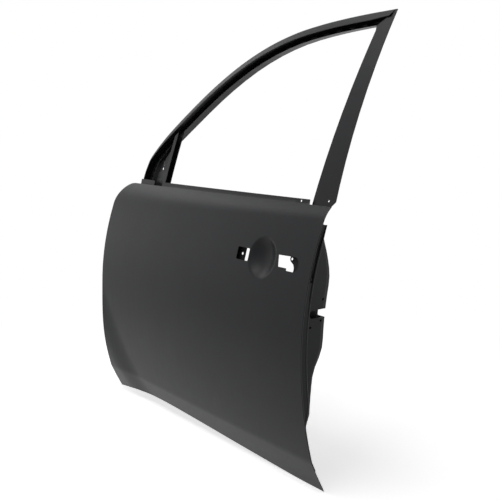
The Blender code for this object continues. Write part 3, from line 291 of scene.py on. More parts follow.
def add_grid(bm, rows):
    """Quads between rows of vertices."""
    for lower, upper in zip(rows, rows[1:]):
        for i in range(len(lower) - 1):
            bm.faces.new((lower[i], lower[i + 1], upper[i + 1], upper[i]))


def add_tube(bm, rows):
    """Quads round a list of rings, and a cap at each end."""
    for near, far in zip(rows, rows[1:]):
        for i in range(len(near)):
            j = (i + 1) % len(near)
            bm.faces.new((near[i], near[j], far[j], far[i]))
    bm.faces.new(rows[0])
    bm.faces.new(list(reversed(rows[-1])))


def ring_sweep(name, rings, material, sharp_angle=SHARP_ANGLE):
    """Closed body through a list of rings that have the same number of points."""
    bm = bmesh.new()
    add_tube(bm, [new_row(bm, ring) for ring in rings])
    return finished(name, bm, material, sharp_angle)

# %% [markdown]
# ## Sheet and holes
# A press shop cuts a blank from 0.8 mm sheet, draws it and pierces it. The same order works here:
# the surface is drawn first, Solidify gives it the thickness of the sheet on its inner side, and
# straight bodies then pierce it. Pierced edges stay crisp, which no drawn grid of quads could do.

# %% Thicken a surface and pierce it
SHEET = 0.0008
CUT_DEPTHS = (-0.10, 0.14)


def hole_cutter(outline):
    """Straight body that passes through the door along Y."""
    bm = bmesh.new()
    add_tube(bm, [new_row(bm, [(x, y, z) for x, z in outline]) for y in CUT_DEPTHS])
    bmesh.ops.recalc_face_normals(bm, faces=bm.faces)
    return add_object("cutter", mesh_from("cutter", bm))


def thicken_and_cut(item, outlines):
    """Turns a surface to face outwards, gives it a sheet's thickness and cuts XZ outlines."""
    if sum(face.normal.y * face.area for face in item.data.polygons) > 0:
        item.data.flip_normals()
    sheet = item.modifiers.new("thickness", "SOLIDIFY")
    sheet.thickness = SHEET
    sheet.offset = -1.0
    sheet.use_even_offset = True
    cutters = [hole_cutter(outline) for outline in outlines]
    for cutter in cutters:
        hole = item.modifiers.new("hole", "BOOLEAN")
        hole.operation = "DIFFERENCE"
        hole.object = cutter
    graph = bpy.context.evaluated_depsgraph_get()
    mesh = bpy.data.meshes.new_from_object(item.evaluated_get(graph))
    item.modifiers.clear()
    item.data = mesh
    for cutter in cutters:
        bpy.data.objects.remove(cutter, do_unlink=True)
    smooth_shade(item.data, SHARP_ANGLE)


def circle(x, z, radius, count):
    """Outline of a round hole."""
    turns = [2 * math.pi * i / count for i in range(count)]
    return [(x + radius * math.cos(t), z + radius * math.sin(t)) for t in turns]


def rounded_box(low_x, high_x, low_z, high_z, radius, steps):
    """Outline of a rectangle with round corners."""
    corners = ((high_x - radius, high_z - radius, 0), (low_x + radius, high_z - radius, 1),
               (low_x + radius, low_z + radius, 2), (high_x - radius, low_z + radius, 3))
    outline = []
    for x, z, quarter in corners:
        for i in range(steps + 1):
            t = 0.5 * math.pi * (quarter + i / steps)
            outline.append((x + radius * math.cos(t), z + radius * math.sin(t)))
    return outline

# %% [markdown]
# ## Smooth flow over the pressings
# The solid model's pieces are faceted, and a facet shows as a flat patch in satin paint. A pressing
# bends smoothly between its folds, so each piece is copied, its doubled corners are joined, and its
# normals are averaged wherever faces meet at less than 30 degrees. Weighting them by face area
# keeps the large flats flat. The copies stand in for the originals, in the same place. The two
# pieces that are drawn from scratch further down are left out.

# %% Copy the pieces with smooth normals
OWN_DRAWING = ("outer_skin", "handle_bracket")
JOIN_DISTANCE = 0.00001
COPY_SHARP_ANGLE = 30.0


def smooth_copy(name, source):
    """Copy of a CAD piece with joined corners and area-weighted smooth normals."""
    bm = bmesh.new()
    bm.from_mesh(source.data)
    bmesh.ops.remove_doubles(bm, verts=bm.verts, dist=JOIN_DISTANCE)
    mesh = mesh_from(name + "_sheet", bm)
    mesh.materials.clear()
    mesh.materials.append(source.material_slots[0].material)
    smooth_shade(mesh, COPY_SHARP_ANGLE)
    item = add_object(name + "_sheet", mesh)
    item.modifiers.new("weighting", "WEIGHTED_NORMAL").keep_sharp = True
    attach(item, "root")
    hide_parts(name)
    return item


copies = [smooth_copy(name, item) for name, item in nodes.items() if name not in OWN_DRAWING]
print("smooth copies:", len(copies), "faces:", sum(len(item.data.polygons) for item in copies))

# %% [markdown]
# ## The pressed outer skin
# The solid model's skin has a few thousand flat faces. That is enough to measure and to collide
# with, but satin paint shows every facet. So the skin is drawn again from the same dimensions with
# lines every few millimetres. Drawing from the formula, rather than smoothing the old mesh, keeps
# the reflections even. A real skin is one 0.8 mm pressing with its edges folded back into a hem.

# %% Dimensions of the skin
SKIN_LENGTH = 1.10
BELT_Z_REAR = 0.747
BELT_DROP = 0.009
SILL_CURVE = ((0.0, -0.0030), (0.115, 0.0145), (0.165, 0.0172), (0.330, 0.0214), (0.500, 0.0160),
              (0.700, 0.0053), (0.900, -0.0062), (1.000, -0.0115), (SKIN_LENGTH, -0.0127))
FRONT_CORNER_RADIUS = 0.075
CROWN_Z = 0.37
CROWN_ABOVE = 0.62
CROWN_BELOW = 0.47
PLAN_SWEEP = 0.022
SHOULDER_Z = 0.715
SHOULDER_DROP = 0.045
SHOULDER_REAR = 9.8
SHOULDER_FRONT = 4.0
FLARE_DEPTH = 0.013
FLARE_X = 0.20
FLARE_Z = 0.08
FLARE_SLANT = 0.62
FLARE_WIDTH = 0.16
CREASE_Z = 0.080
CREASE_SLOPE = 0.19
DISH_X = SKIN_LENGTH - 0.201
DISH_Z = 0.597
DISH_RADIUS = 0.058
DISH_DEPTH = 0.022
DISH_SQUASH = 1.04
DISH_FLATNESS = 2.4
DISH_RIM = 1.35
print("skin:", SKIN_LENGTH, "m long, dish", 2 * DISH_RADIUS, "m wide and", DISH_DEPTH, "m deep")

# %% Curves
def smooth(low, high, value):
    """Runs from 0 at low to 1 at high along an S curve."""
    t = min(1.0, max(0.0, (value - low) / (high - low)))
    return t * t * (3.0 - 2.0 * t)


def blend(a, b, t):
    """Value between a and b."""
    return a + (b - a) * t


def curve_value(stops, x):
    """Value at x of a smooth curve through (x, value) stops."""
    i = 0
    while i < len(stops) - 2 and x > stops[i + 1][0]:
        i += 1
    slopes = []
    for k in (i, i + 1):
        before = stops[max(0, k - 1)]
        after = stops[min(len(stops) - 1, k + 1)]
        slopes.append((after[1] - before[1]) / (after[0] - before[0]))
    (x0, v0), (x1, v1) = stops[i], stops[i + 1]
    span = x1 - x0
    t = (x - x0) / span
    rise = v1 * (3 * t * t - 2 * t ** 3) + v0 * (1 - 3 * t * t + 2 * t ** 3)
    return rise + span * (slopes[0] * (t - 2 * t * t + t ** 3) + slopes[1] * (t ** 3 - t * t))

# %% [markdown]
# ## Curves of the side
# A body side is never flat: a flat sheet rattles and looks dented. This one is crowned from sill to
# belt, swept inboard towards the front, rolled over at the shoulder and flared ahead of the sill.
# One function adds these up to a depth, so every piece that follows the side can ask it.

# %% Depth of the side
def forward_share(x):
    """0 at the skin's rear edge and 1 at its front edge."""
    return (SKIN_LENGTH - x) / SKIN_LENGTH


def belt_z(x):
    """Height of the skin's top edge."""
    return BELT_Z_REAR - BELT_DROP * forward_share(x)


def front_x(z):
    """Front edge of the skin, straight below and rounded where it meets the belt."""
    rise = min(FRONT_CORNER_RADIUS, max(0.0, z - (belt_z(0.0) - FRONT_CORNER_RADIUS)))
    return FRONT_CORNER_RADIUS - math.sqrt(FRONT_CORNER_RADIUS ** 2 - rise ** 2)


def side_y(x, z):
    """Outer face: crowned section, swept plan, rounded shoulder, front flare and sill crease."""
    u = forward_share(x)
    crown = CROWN_ABOVE if z > CROWN_Z else CROWN_BELOW
    y = crown * (z - CROWN_Z) ** 2 + PLAN_SWEEP * u * abs(u)
    shoulder = blend(SHOULDER_REAR, SHOULDER_FRONT, u)
    y += shoulder * max(0.0, z - SHOULDER_Z + SHOULDER_DROP * u) ** 2
    ahead = (FLARE_X - x) - FLARE_SLANT * (z - FLARE_Z)
    y -= FLARE_DEPTH * smooth(0.0, FLARE_WIDTH, ahead)
    return y + CREASE_SLOPE * max(0.0, CREASE_Z - z)


def dish_y(x, z):
    """Extra depth inside the handle dish, with a tight radius at its rim."""
    r = math.hypot(x - DISH_X, (z - DISH_Z) * DISH_SQUASH) / DISH_RADIUS
    if r >= 1.0:
        return 0.0
    return DISH_DEPTH * (1.0 - r ** DISH_FLATNESS) ** DISH_RIM


def off_side(x, z, distance):
    """Point at a distance inboard of the outer face, along its normal."""
    h = 0.001
    slope_x = (side_y(x + h, z) - side_y(x - h, z)) / (2 * h)
    slope_z = (side_y(x, z + h) - side_y(x, z - h)) / (2 * h)
    normal = Vector((-slope_x, 1.0, -slope_z)).normalized()
    return Vector((x, side_y(x, z), z)) + normal * distance


print("crown of the side:", round(side_y(SKIN_LENGTH, belt_z(SKIN_LENGTH)), 4), "m at the belt")

# %% Points of the skin and its hem
DISH_REACH = DISH_RADIUS + 0.006
HEM_WIDTH = 0.009
HEM_BULGE = 0.0006
HEM_DEPTH = 0.0034


def stretch_lines(stops):
    """Lines through a row of (value, intervals before it) stops."""
    lines = [stops[0][0]]
    for (low, _), (high, count) in zip(stops, stops[1:]):
        lines += [blend(low, high, i / count) for i in range(1, count + 1)]
    return lines


def hem_points(edge, inward):
    """Three points of the hem folded back behind one point of the skin's edge."""
    x, y, z = edge
    inner = off_side(x + inward[0] * HEM_WIDTH, z + inward[1] * HEM_WIDTH, HEM_DEPTH)
    fold = off_side(x, z, HEM_DEPTH)
    bulge = off_side(x, z, 0.5 * HEM_DEPTH)
    bulge -= Vector((inward[0], 0.0, inward[1])) * HEM_BULGE
    return bulge, fold, inner


def skin_points():
    """Rows of points from the sill to the belt."""
    columns = stretch_lines(((0.0, 0), (FLARE_X, 30), (DISH_X - DISH_REACH, 60),
                             (DISH_X + DISH_REACH, 48), (SKIN_LENGTH, 16)))
    heights = []
    for column in columns:
        sill = curve_value(SILL_CURVE, column)
        heights.append(stretch_lines(((sill, 0), (CREASE_Z, 10), (DISH_Z - DISH_REACH, 50),
                                      (DISH_Z + DISH_REACH, 48), (belt_z(column), 40))))
    rows = []
    for j in range(len(heights[0])):
        row = []
        for i, column in enumerate(columns):
            z = heights[i][j]
            x = blend(front_x(z), SKIN_LENGTH, column / SKIN_LENGTH)
            row.append(Vector((x, side_y(x, z) + dish_y(x, z), z)))
        rows.append(row)
    return rows


skin_grid = skin_points()
print("skin grid:", len(skin_grid), "rows of", len(skin_grid[0]), "points")

# %% [markdown]
# ## Handle apertures
# The outside handle is hooked in through one hole and bolted through the other. The front one is a
# rectangle with round corners. The rear one is a slot with a round end and a stepped lower edge.
# Each is an outline in the XZ plane, ready for the piercing body.

# %% Outlines of the two apertures
APERTURE_Z = 0.5965
FRONT_APERTURE = (-0.054, -0.001)
FRONT_HALF_HEIGHT = 0.017
FRONT_CORNER = 0.004
REAR_START = 0.0085
REAR_LENGTH = 0.0845
REAR_RADIUS = 0.019
REAR_ARC_STEPS = 24
REAR_TOP_DROP = 0.002
REAR_STEP_FROM = 0.007
REAR_STEP_TO = (0.040, 0.041)
REAR_STEP_RISE = 0.006


def aperture_outlines():
    """Cut-outs in front of and behind the dish: a rectangle, and a slot with a round end."""
    rim = DISH_X - DISH_RADIUS
    front = rounded_box(rim + FRONT_APERTURE[0], rim + FRONT_APERTURE[1],
                        APERTURE_Z - FRONT_HALF_HEIGHT, APERTURE_Z + FRONT_HALF_HEIGHT,
                        FRONT_CORNER, 4)
    start = DISH_X + DISH_RADIUS + REAR_START
    middle = start + REAR_LENGTH - REAR_RADIUS
    rear = []
    for i in range(REAR_ARC_STEPS + 1):
        t = -0.5 * math.pi + math.pi * i / REAR_ARC_STEPS
        rear.append((middle + REAR_RADIUS * math.cos(t), APERTURE_Z + REAR_RADIUS * math.sin(t)))
    top = APERTURE_Z + REAR_RADIUS
    bottom = APERTURE_Z - REAR_RADIUS
    rear += [(start, top - REAR_TOP_DROP), (start + REAR_STEP_FROM, bottom + REAR_STEP_RISE),
             (start + REAR_STEP_TO[0], bottom + REAR_STEP_RISE), (start + REAR_STEP_TO[1], bottom)]
    return [front, rear]


print("aperture corners:", [len(outline) for outline in aperture_outlines()])

# %% Press the skin, fold its hem and cut its two apertures
HEM_RELIEF = 0.045
HEM_TOP_Z = 0.682


def pressed_skin(points):
    """Outer skin with hems along the front, sill and rear."""
    bm = bmesh.new()
    rows = [new_row(bm, row) for row in points]
    add_grid(bm, rows)
    front = []
    rear = []
    for j, row in enumerate(points):
        if HEM_RELIEF < row[-1].z < HEM_TOP_Z:
            bulge, fold, inner = hem_points(row[-1], (-1.0, 0.0))
            rear.append([rows[j][-1]] + new_row(bm, [bulge, fold, inner]))
            bulge, fold, inner = hem_points(row[0], (1.0, 0.0))
            front.append(new_row(bm, [inner, fold, bulge]) + [rows[j][0]])
    add_grid(bm, rear)
    add_grid(bm, front)
    sill = [i for i, point in enumerate(points[0])
            if HEM_RELIEF < point.x < SKIN_LENGTH - HEM_RELIEF]
    folds = [hem_points(points[0][i], (0.0, 1.0)) for i in sill]
    add_grid(bm, [new_row(bm, [fold[k] for fold in folds]) for k in (2, 1, 0)]
             + [[rows[0][i] for i in sill]])
    item = finished("pressed_outer_skin", bm, panel_primer)
    thicken_and_cut(item, aperture_outlines())
    return item


skin = pressed_skin(skin_grid)
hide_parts("outer_skin")
print("skin faces:", len(skin.data.polygons))

# %% [markdown]
# ## Lip of the window frame
# The frame is roll-formed: a strip of steel runs through rollers that bend it to one section, and
# the long profile is then stretched to the roof's curve. Its outermost lip is a sloping face beside
# the dark glass channel. The same section is carried along the frame's edge as a row of closed
# rings, which keeps its width constant, as rollers do.

# %% Curve of the frame's edge
PILLAR_POINTS = ((0.0985, 0.640), (0.0985, 0.700), (0.1025, 0.756), (0.1125, 0.796),
                 (0.1312, 0.8315), (0.2058, 0.9031), (0.3351, 1.0015), (0.4405, 1.0732))
ROOF_POINTS = ((0.5466, 1.1323), (0.6522, 1.1760), (0.7571, 1.2048), (0.8606, 1.2212),
               (0.9592, 1.2310), (1.0504, 1.2370), (1.1344, 1.2412))
FRAME_Z = 0.745
FRAME_STEP = 0.016
FRAME_SWEEP = 0.03
FRAME_LEAN = 0.25
FRAME_CURL = 0.185


def frame_y(x, z):
    """Outer face of the window frame, which leans inboard more and more towards the roof."""
    u = forward_share(x)
    h = z - FRAME_Z
    foot = side_y(SKIN_LENGTH, FRAME_Z) + FRAME_STEP
    return foot + FRAME_SWEEP * u * abs(u) + FRAME_LEAN * h + FRAME_CURL * h * h


def curve_point(points, t):
    """Point and direction on a smooth curve through the points, t counting them."""
    i = min(int(t), len(points) - 2)
    f = t - i
    corners = [points[max(0, i - 1)], points[i], points[i + 1], points[min(len(points) - 1, i + 2)]]
    spot = []
    slope = []
    for a, b, c, d in zip(*corners):
        m1 = 0.5 * (c - a)
        m2 = 0.5 * (d - b)
        spot.append(b * (2 * f ** 3 - 3 * f ** 2 + 1) + m1 * (f ** 3 - 2 * f ** 2 + f)
                    + c * (3 * f ** 2 - 2 * f ** 3) + m2 * (f ** 3 - f ** 2))
        slope.append(b * (6 * f ** 2 - 6 * f) + m1 * (3 * f ** 2 - 4 * f + 1)
                     + c * (6 * f - 6 * f ** 2) + m2 * (3 * f ** 2 - 2 * f))
    length = math.hypot(*slope)
    return spot, (slope[0] / length, slope[1] / length)


lean = frame_y(*ROOF_POINTS[-1]) - frame_y(*PILLAR_POINTS[2])
print("frame leans inboard by", round(lean, 3), "m")

# %% Roll the lip
LIP_SECTION = ((-0.0009, 0.0090), (-0.0009, 0.0012), (-0.0002, -0.0002), (0.0020, -0.0014),
               (0.0060, -0.0027), (0.0110, -0.0040), (0.0160, -0.0050), (0.0180, -0.0051),
               (0.0188, -0.0044), (0.0188, -0.0030), (0.0150, -0.0003), (0.0003, -0.0003),
               (-0.0003, 0.0003), (-0.0003, 0.0090))
LIP_BASE = -0.0003
LIP_STEPS = 8
LIP_FOOT_SHARE = 0.30
LIP_GROWS = (0.78, 0.98)
REAR_CORNER = (1.1285, 1.2406)
REAR_CORNER_INWARD = (-0.60, -0.80)


def lip_ring(place, inward, share):
    """Section of the lip at one place; share narrows it at the foot."""
    ring = []
    for across, depth in LIP_SECTION:
        reach = across * share if across > 0.0 else across
        rise = depth * share if depth < LIP_BASE else depth
        x = place[0] + inward[0] * reach
        z = place[1] + inward[1] * reach
        ring.append((x, frame_y(x, z) + rise, z))
    return ring


def frame_lip():
    """Lip from the belt up the pillar and along the roof to the rear corner."""
    curve = PILLAR_POINTS + ROOF_POINTS
    last = (len(curve) - 2) * LIP_STEPS
    rings = []
    for i in range(2 * LIP_STEPS, last + 1):
        place, (ux, uz) = curve_point(curve, i / LIP_STEPS)
        share = blend(LIP_FOOT_SHARE, 1.0, smooth(*LIP_GROWS, place[1]))
        rings.append(lip_ring(place, (uz, -ux), share))
    rings.append(lip_ring(REAR_CORNER, REAR_CORNER_INWARD, 1.0))
    return ring_sweep("frame_lip", rings, frame_primer)


lip = frame_lip()
print("lip rings:", len(lip.data.vertices) // len(LIP_SECTION))

# %% [markdown]
# ## Rear flange: fold and doubler
# Behind the skin's rear edge the inner panel steps inboard. The outer corner of the step is a tight
# rolled fold that catches the light from top to bottom. A second sheet is welded on the step to
# stiffen it, in three thicknesses. Straight boxes would cut through the crowned side, so both are
# rings swept up the flange, with every point measured from the side's own curve.

# %% Place on the flange
FLANGE_X = 1.0874
FLANGE_SLOPE = 0.035
FOLD_DEPTH = 0.0285
FOLD_DEPTH_AT_SILL = 0.0085
FOLD_DEEPENS = (0.165, 0.240)


def flange_point(z, depth, proud):
    """Point on the rear flange: depth inboard of the skin, and proud of the sheet."""
    return (FLANGE_X - FLANGE_SLOPE * depth + proud, side_y(SKIN_LENGTH, z) + depth, z)


def fold_depth(z):
    """Depth of the fold: shallow at the sill and full above it."""
    return blend(FOLD_DEPTH_AT_SILL, FOLD_DEPTH, smooth(*FOLD_DEEPENS, z))


print("depth of the fold at the sill:", FOLD_DEPTH_AT_SILL, "and above it:", FOLD_DEPTH)

# %% Roll the fold
FOLD_RADIUS = 0.0034
FOLD_LEAST = 0.0002
FOLD_HEIGHTS = (0.150, 0.700)
FOLD_GROWS = (0.140, 0.165)
FOLD_FADES = (0.64, 0.705)
FOLD_FADE = 0.8
FOLD_STEPS = 90
FOLD_SIDES = 12
FOLD_SHARP_ANGLE = 60.0


def fold_radius(z):
    """Radius of the bead, which runs out at both ends."""
    full = FOLD_RADIUS * smooth(*FOLD_GROWS, z)
    return full * (1.0 - FOLD_FADE * smooth(*FOLD_FADES, z)) + FOLD_LEAST


def rolled_fold():
    """Round bead along the corner of the step."""
    turns = [2 * math.pi * k / FOLD_SIDES for k in range(FOLD_SIDES)]
    rings = []
    for i in range(FOLD_STEPS + 1):
        z = blend(*FOLD_HEIGHTS, i / FOLD_STEPS)
        x, y, _ = flange_point(z, fold_depth(z), 0.0)
        radius = fold_radius(z)
        rings.append([(x + radius * math.cos(t), y + radius * math.sin(t), z) for t in turns])
    return ring_sweep("rolled_flange_fold", rings, panel_primer, FOLD_SHARP_ANGLE)


fold = rolled_fold()
print("fold faces:", len(fold.data.polygons))

# %% Lay on the doubler
DOUBLER_STEPS = ((0.185, 0.0024), (0.473, 0.0024), (0.4755, 0.0015), (0.510, 0.0015),
                 (0.5125, 0.0008), (0.554, 0.0008), (0.556, 0.0002))
DOUBLER_SPACING = 0.008
DOUBLER_RINGS = 47
DOUBLER_LIFT = 0.0003
DOUBLER_NEAR = 0.0060
DOUBLER_MARGIN = 0.0030
DOUBLER_BEVEL = 0.0005


def value_between(stops, reach):
    """Value at reach on straight lines through (reach, value) stops."""
    k = max(i for i, stop in enumerate(stops) if stop[0] <= reach + 1e-9)
    low, start = stops[k]
    high, end = stops[min(k + 1, len(stops) - 1)]
    return blend(start, end, min(1.0, (reach - low) / max(1e-9, high - low)))


def stepped_doubler():
    """Reinforcement on the flange, thicker in three steps towards the sill."""
    lowest = DOUBLER_STEPS[0][0]
    between = {lowest + DOUBLER_SPACING * i for i in range(DOUBLER_RINGS)}
    rings = []
    for z in sorted({z for z, _ in DOUBLER_STEPS} | between):
        top = DOUBLER_LIFT + value_between(DOUBLER_STEPS, z)
        middle = 0.5 * (DOUBLER_LIFT + top)
        far = fold_depth(z) - DOUBLER_MARGIN
        rings.append([flange_point(z, DOUBLER_NEAR, DOUBLER_LIFT),
                      flange_point(z, DOUBLER_NEAR + DOUBLER_BEVEL, middle),
                      flange_point(z, far, top),
                      flange_point(z, far + DOUBLER_BEVEL, DOUBLER_LIFT)])
    return ring_sweep("stepped_flange_doubler", rings, panel_primer)


doubler = stepped_doubler()
print("doubler faces:", len(doubler.data.polygons))

# %% [markdown]
# ## Plugs in near-black rubber, as painted shade
# A slot and a round hole above the doubler are drawn as plugs in near-black grained rubber. Their
# near-black colour is painted shade for the dark inside the slot and the hole. The grain is drawn
# at 3 mm, coarse enough to show. A plug could be a scaled sphere, but rings that shrink towards the
# crown keep its rim flat on the sheet.

# %% Press in the plugs
PLUG_SIDES = 20
PLUG_CROWN = ((0.0002, 1.0), (0.0007, 1.0), (0.0010, 0.8), (0.0011, 0.3))
PLUG_DEPTH = 0.0190

# Near-black rubber: its dark colour is painted shade for the slot and the hole.
rubber_painted_shade = grained_material("near_black_rubber_painted_shade", grain=0.003, detail=3.0,
                          shades=("#0b0b0c", "#121213"), roughness=(0.72, 0.88),
                          depth=0.00003, specular=0.3)


def plug(name, z_mid, half_height, half_width):
    """Plug with a round end each way and a soft crown; its near-black rubber is painted shade."""
    rings = []
    for proud, share in PLUG_CROWN:
        ring = []
        for i in range(PLUG_SIDES):
            t = 2 * math.pi * i / PLUG_SIDES
            straight = (half_height - half_width) * (1 if math.sin(t) > 0 else -1)
            z = z_mid + straight + share * half_width * math.sin(t)
            ring.append(flange_point(z, PLUG_DEPTH + share * half_width * math.cos(t), proud))
        rings.append(ring)
    return ring_sweep(name, rings, rubber_painted_shade)


plugs = [plug("slot_painted_shade_plug", z_mid=0.5975, half_height=0.0125, half_width=0.0024),
         plug("hole_painted_shade_plug", z_mid=0.5665, half_height=0.0036, half_width=0.0035)]
print("plugs:", [item.name for item in plugs])

# %% [markdown]
# ## Handle carrier, near-black with painted shade
# The part seen black through both apertures carries the outside handle. Carriers like it are
# injection moulded in nylon filled with glass fibre, which is matt and nearly black. Its colour
# here is darker than any primer, and that extra darkness is painted shade for the hollow behind the
# skin. The solid model has it as a plain plate, so the moulded one is drawn again in the same
# place, as a grid behind the skin with a hooked edge and rounder cut-outs.

# %% Outlines cut from the carrier
DISH_CLEARANCE = 0.0055
WINDOW_REACH = 0.0880
WINDOW_CORNER = 0.003
WINDOW_LOW = APERTURE_Z - 0.026
FRONT_WINDOW_TOP = APERTURE_Z + 0.020
REAR_WINDOW_TOP = APERTURE_Z + 0.022
HOOK_POINTS = ((1.0200, WINDOW_LOW), (1.0220, 0.5800), (1.0205, 0.5870), (1.0165, 0.5930),
               (1.0095, 0.5970), (1.0035, 0.6005), (0.9998, 0.6060), (1.0000, 0.6110),
               (1.0030, 0.6155), (1.0060, REAR_WINDOW_TOP))
# Reach along the door from the dish, height above the apertures' middle, radius.
BOLT_HOLES = ((-0.1025, -0.003, 0.0038), (0.1085, 0.010, 0.0036))


def carrier_cutouts():
    """Outlines cut from the plate: room for the dish, both windows and one bolt hole each side."""
    hooked_window = [(DISH_X, WINDOW_LOW), *HOOK_POINTS, (DISH_X, REAR_WINDOW_TOP)]
    front_window = rounded_box(DISH_X - WINDOW_REACH, DISH_X, WINDOW_LOW, FRONT_WINDOW_TOP,
                               WINDOW_CORNER, 4)
    bolts = [circle(DISH_X + reach, APERTURE_Z + rise, radius, 20)
             for reach, rise, radius in BOLT_HOLES]
    return [circle(DISH_X, DISH_Z, DISH_RADIUS + DISH_CLEARANCE, 56), front_window,
            hooked_window, *bolts]


print("carrier cut-outs:", len(carrier_cutouts()))

# %% Mould the handle carrier
# The glass fibres are hair-thin and about a millimetre long, and are drawn as flecks of 2 mm.
# Near-black nylon, darker than the primer: that extra darkness is painted shade for the hollow
# behind the skin.
nylon_and_painted_shade = grained_material("glass_filled_nylon_and_painted_shade", grain=0.002, detail=6.0,
                         shades=("#060606", "#0d0d0e"), roughness=(0.60, 0.78),
                         depth=0.00002, specular=0.2)
# Reach along the door from the dish, depth behind the skin.
CARRIER_STEPS = ((-0.157, 0.0011), (-0.141, 0.0011), (-0.135, 0.0120), (0.1545, 0.0120),
                 (0.1605, 0.0011), (0.171, 0.0011))
CARRIER_INTERVALS = (0, 3, 3, 48, 3, 3)
CARRIER_HEIGHTS = (0.515, 0.672)
CARRIER_ROWS = 24


def handle_carrier():
    """Plate behind the skin: two flanges that touch it and a raised middle."""
    stops = [(reach, count) for (reach, _), count in zip(CARRIER_STEPS, CARRIER_INTERVALS)]
    reaches = stretch_lines(stops)
    bm = bmesh.new()
    rows = []
    for j in range(CARRIER_ROWS + 1):
        z = blend(*CARRIER_HEIGHTS, j / CARRIER_ROWS)
        rows.append(new_row(bm, [off_side(DISH_X + reach, z, value_between(CARRIER_STEPS, reach))
                                 for reach in reaches]))
    add_grid(bm, rows)
    item = finished("moulded_handle_carrier", bm, nylon_and_painted_shade)
    thicken_and_cut(item, carrier_cutouts())
    return item


carrier = handle_carrier()
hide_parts("handle_bracket")
print("carrier faces:", len(carrier.data.polygons))

# %% [markdown]
# ## Studio
# A pale floor meets a white backdrop. The camera sees them white, and so does any reflection or
# refraction. For diffuse light the room is nearly dark, so the soft boxes model the form. Round the
# door the floor is an ordinary pale surface that takes the shadow, and further out it fades to
# plain white.

# %% Which rays see the white background
def background_rays(tree):
    """1 for camera rays and for reflected or transmitted rays, 0 for the rest."""
    path = add_node(tree, "ShaderNodeLightPath").outputs
    bent = add_node(tree, "ShaderNodeMath", {"operation": "MAXIMUM"},
                    links={0: path["Is Glossy Ray"], 1: path["Is Transmission Ray"]})
    either = add_node(tree, "ShaderNodeMath", {"operation": "MAXIMUM"},
                      links={0: path["Is Camera Ray"], 1: bent.outputs["Value"]})
    return either.outputs["Value"]


# %% Floor
FLOOR_Z = cad_box[0][2] - 0.001
FLOOR_HALF = 30.0
SHADOW_REACH = 0.9
FADE_REACH = 1.7
FLOOR_LIFT = 0.7
DOOR_MIDDLE = Vector((0.5, 0.0, 0.0))
WHITE = (1.0, 1.0, 1.0, 1.0)


def plain_floor():
    """Large flat sheet under the door."""
    mesh = bpy.data.meshes.new("studio_floor")
    corners = [(FLOOR_HALF * a, FLOOR_HALF * b, FLOOR_Z)
               for a, b in ((-1, -1), (1, -1), (1, 1), (-1, 1))]
    mesh.from_pydata(corners, [], [(0, 1, 2, 3)])
    item = add_object("studio_floor", mesh)
    return item


def floor_material():
    """Pale matt floor that takes the shadow and fades to white away from the door."""
    material, tree, shader = new_material("pale_studio_floor")
    shader.inputs["Base Color"].default_value = screen_colour("#f0f0f0")
    shader.inputs["Roughness"].default_value = 0.9
    shader.inputs["Specular IOR Level"].default_value = 0.0
    shader.inputs["Emission Color"].default_value = WHITE
    sees = background_rays(tree)
    lift = add_node(tree, "ShaderNodeMath", {"operation": "MULTIPLY"}, {1: FLOOR_LIFT}, {0: sees})
    tree.links.new(lift.outputs["Value"], shader.inputs["Emission Strength"])

    place = add_node(tree, "ShaderNodeNewGeometry").outputs["Position"]
    reach = add_node(tree, "ShaderNodeVectorMath", {"operation": "DISTANCE"},
                     {1: (DOOR_MIDDLE.x, DOOR_MIDDLE.y, FLOOR_Z)}, {0: place})
    fade = add_node(tree, "ShaderNodeMapRange", {"interpolation_type": "SMOOTHSTEP"},
                    {"From Min": SHADOW_REACH, "From Max": FADE_REACH},
                    {"Value": reach.outputs["Value"]})
    both = add_node(tree, "ShaderNodeMath", {"operation": "MULTIPLY"},
                    links={0: fade.outputs["Result"], 1: sees})
    white = add_node(tree, "ShaderNodeEmission")
    mixed = add_node(tree, "ShaderNodeMixShader",
                     links={0: both.outputs["Value"], 1: shader.outputs["BSDF"],
                            2: white.outputs["Emission"]})
    tree.links.new(mixed.outputs["Shader"], tree.nodes["Material Output"].inputs["Surface"])
    return material


floor = plain_floor()
floor.data.materials.append(floor_material())
print("floor height:", round(FLOOR_Z, 4))

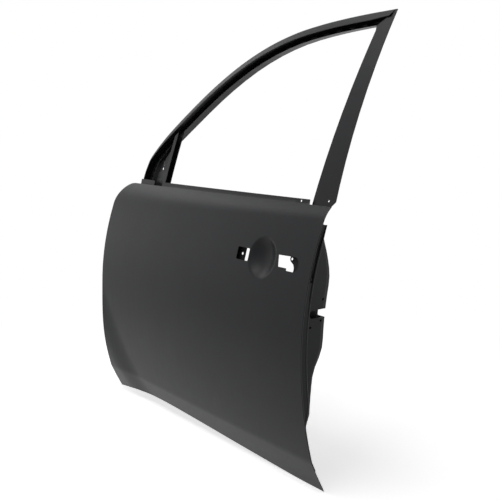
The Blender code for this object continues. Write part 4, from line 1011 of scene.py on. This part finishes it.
# %% Surround
ROOM_BRIGHTNESS = 0.01

world = bpy.data.worlds.new("studio_world")
scene.world = world
world.use_nodes = True
world_tree = world.node_tree
background = world_tree.nodes["Background"]
background.inputs["Color"].default_value = WHITE
strength = add_node(world_tree, "ShaderNodeMapRange", values={"To Min": ROOM_BRIGHTNESS},
                    links={"Value": background_rays(world_tree)})
world_tree.links.new(strength.outputs["Result"], background.inputs["Strength"])
print("room brightness:", ROOM_BRIGHTNESS)

# %% [markdown]
# ## Lights
# Dark satin paint shows lights mostly as reflections, so big soft boxes draw the form. The one
# overhead lights the rounded shoulder. The boxes ahead of the door shine along its length, so the
# side is light at the front and darkens towards the rear. Two more stand behind the door: one shows
# the inner panel, and one by the rear edge lights the rear flange and its rolled fold.

# %% Soft boxes
SOFT_BOXES = (
    # name, place, width, height, watts
    ("overhead_box", (0.4, -1.2, 2.6), 2.6, 1.6, 65.0),
    ("side_high_box", (0.5, -3.0, 1.9), 2.4, 1.4, 1.6),
    ("front_side_box", (-2.2, -2.2, 0.9), 1.6, 2.2, 2.8),
    ("front_high_box", (-3.2, -0.6, 2.4), 1.4, 1.2, 10.6),
    ("front_middle_box", (-3.2, -1.2, 0.4), 1.2, 1.0, 1.2),
    ("front_low_box", (-3.2, -0.5, -0.1), 1.4, 0.8, 1.4),
    ("inner_side_box", (0.5, 3.0, 1.4), 2.4, 1.6, 11.0),
    ("rear_edge_box", (3.0, 2.8, 0.2), 1.4, 1.6, 14.4),
)


def soft_box(name, place, width, height, power):
    """Rectangular area light aimed at the middle of the door."""
    data = bpy.data.lights.new(name, "AREA")
    data.shape = "RECTANGLE"
    data.size = width
    data.size_y = height
    data.energy = power
    item = add_object(name, data)
    item.location = place
    direction = DOOR_MIDDLE - Vector(place)
    item.rotation_euler = direction.to_track_quat("-Z", "Y").to_euler()
    return item


boxes = [soft_box(*row) for row in SOFT_BOXES]
print("soft boxes:", len(boxes), "total watts:", round(sum(row[-1] for row in SOFT_BOXES), 1))
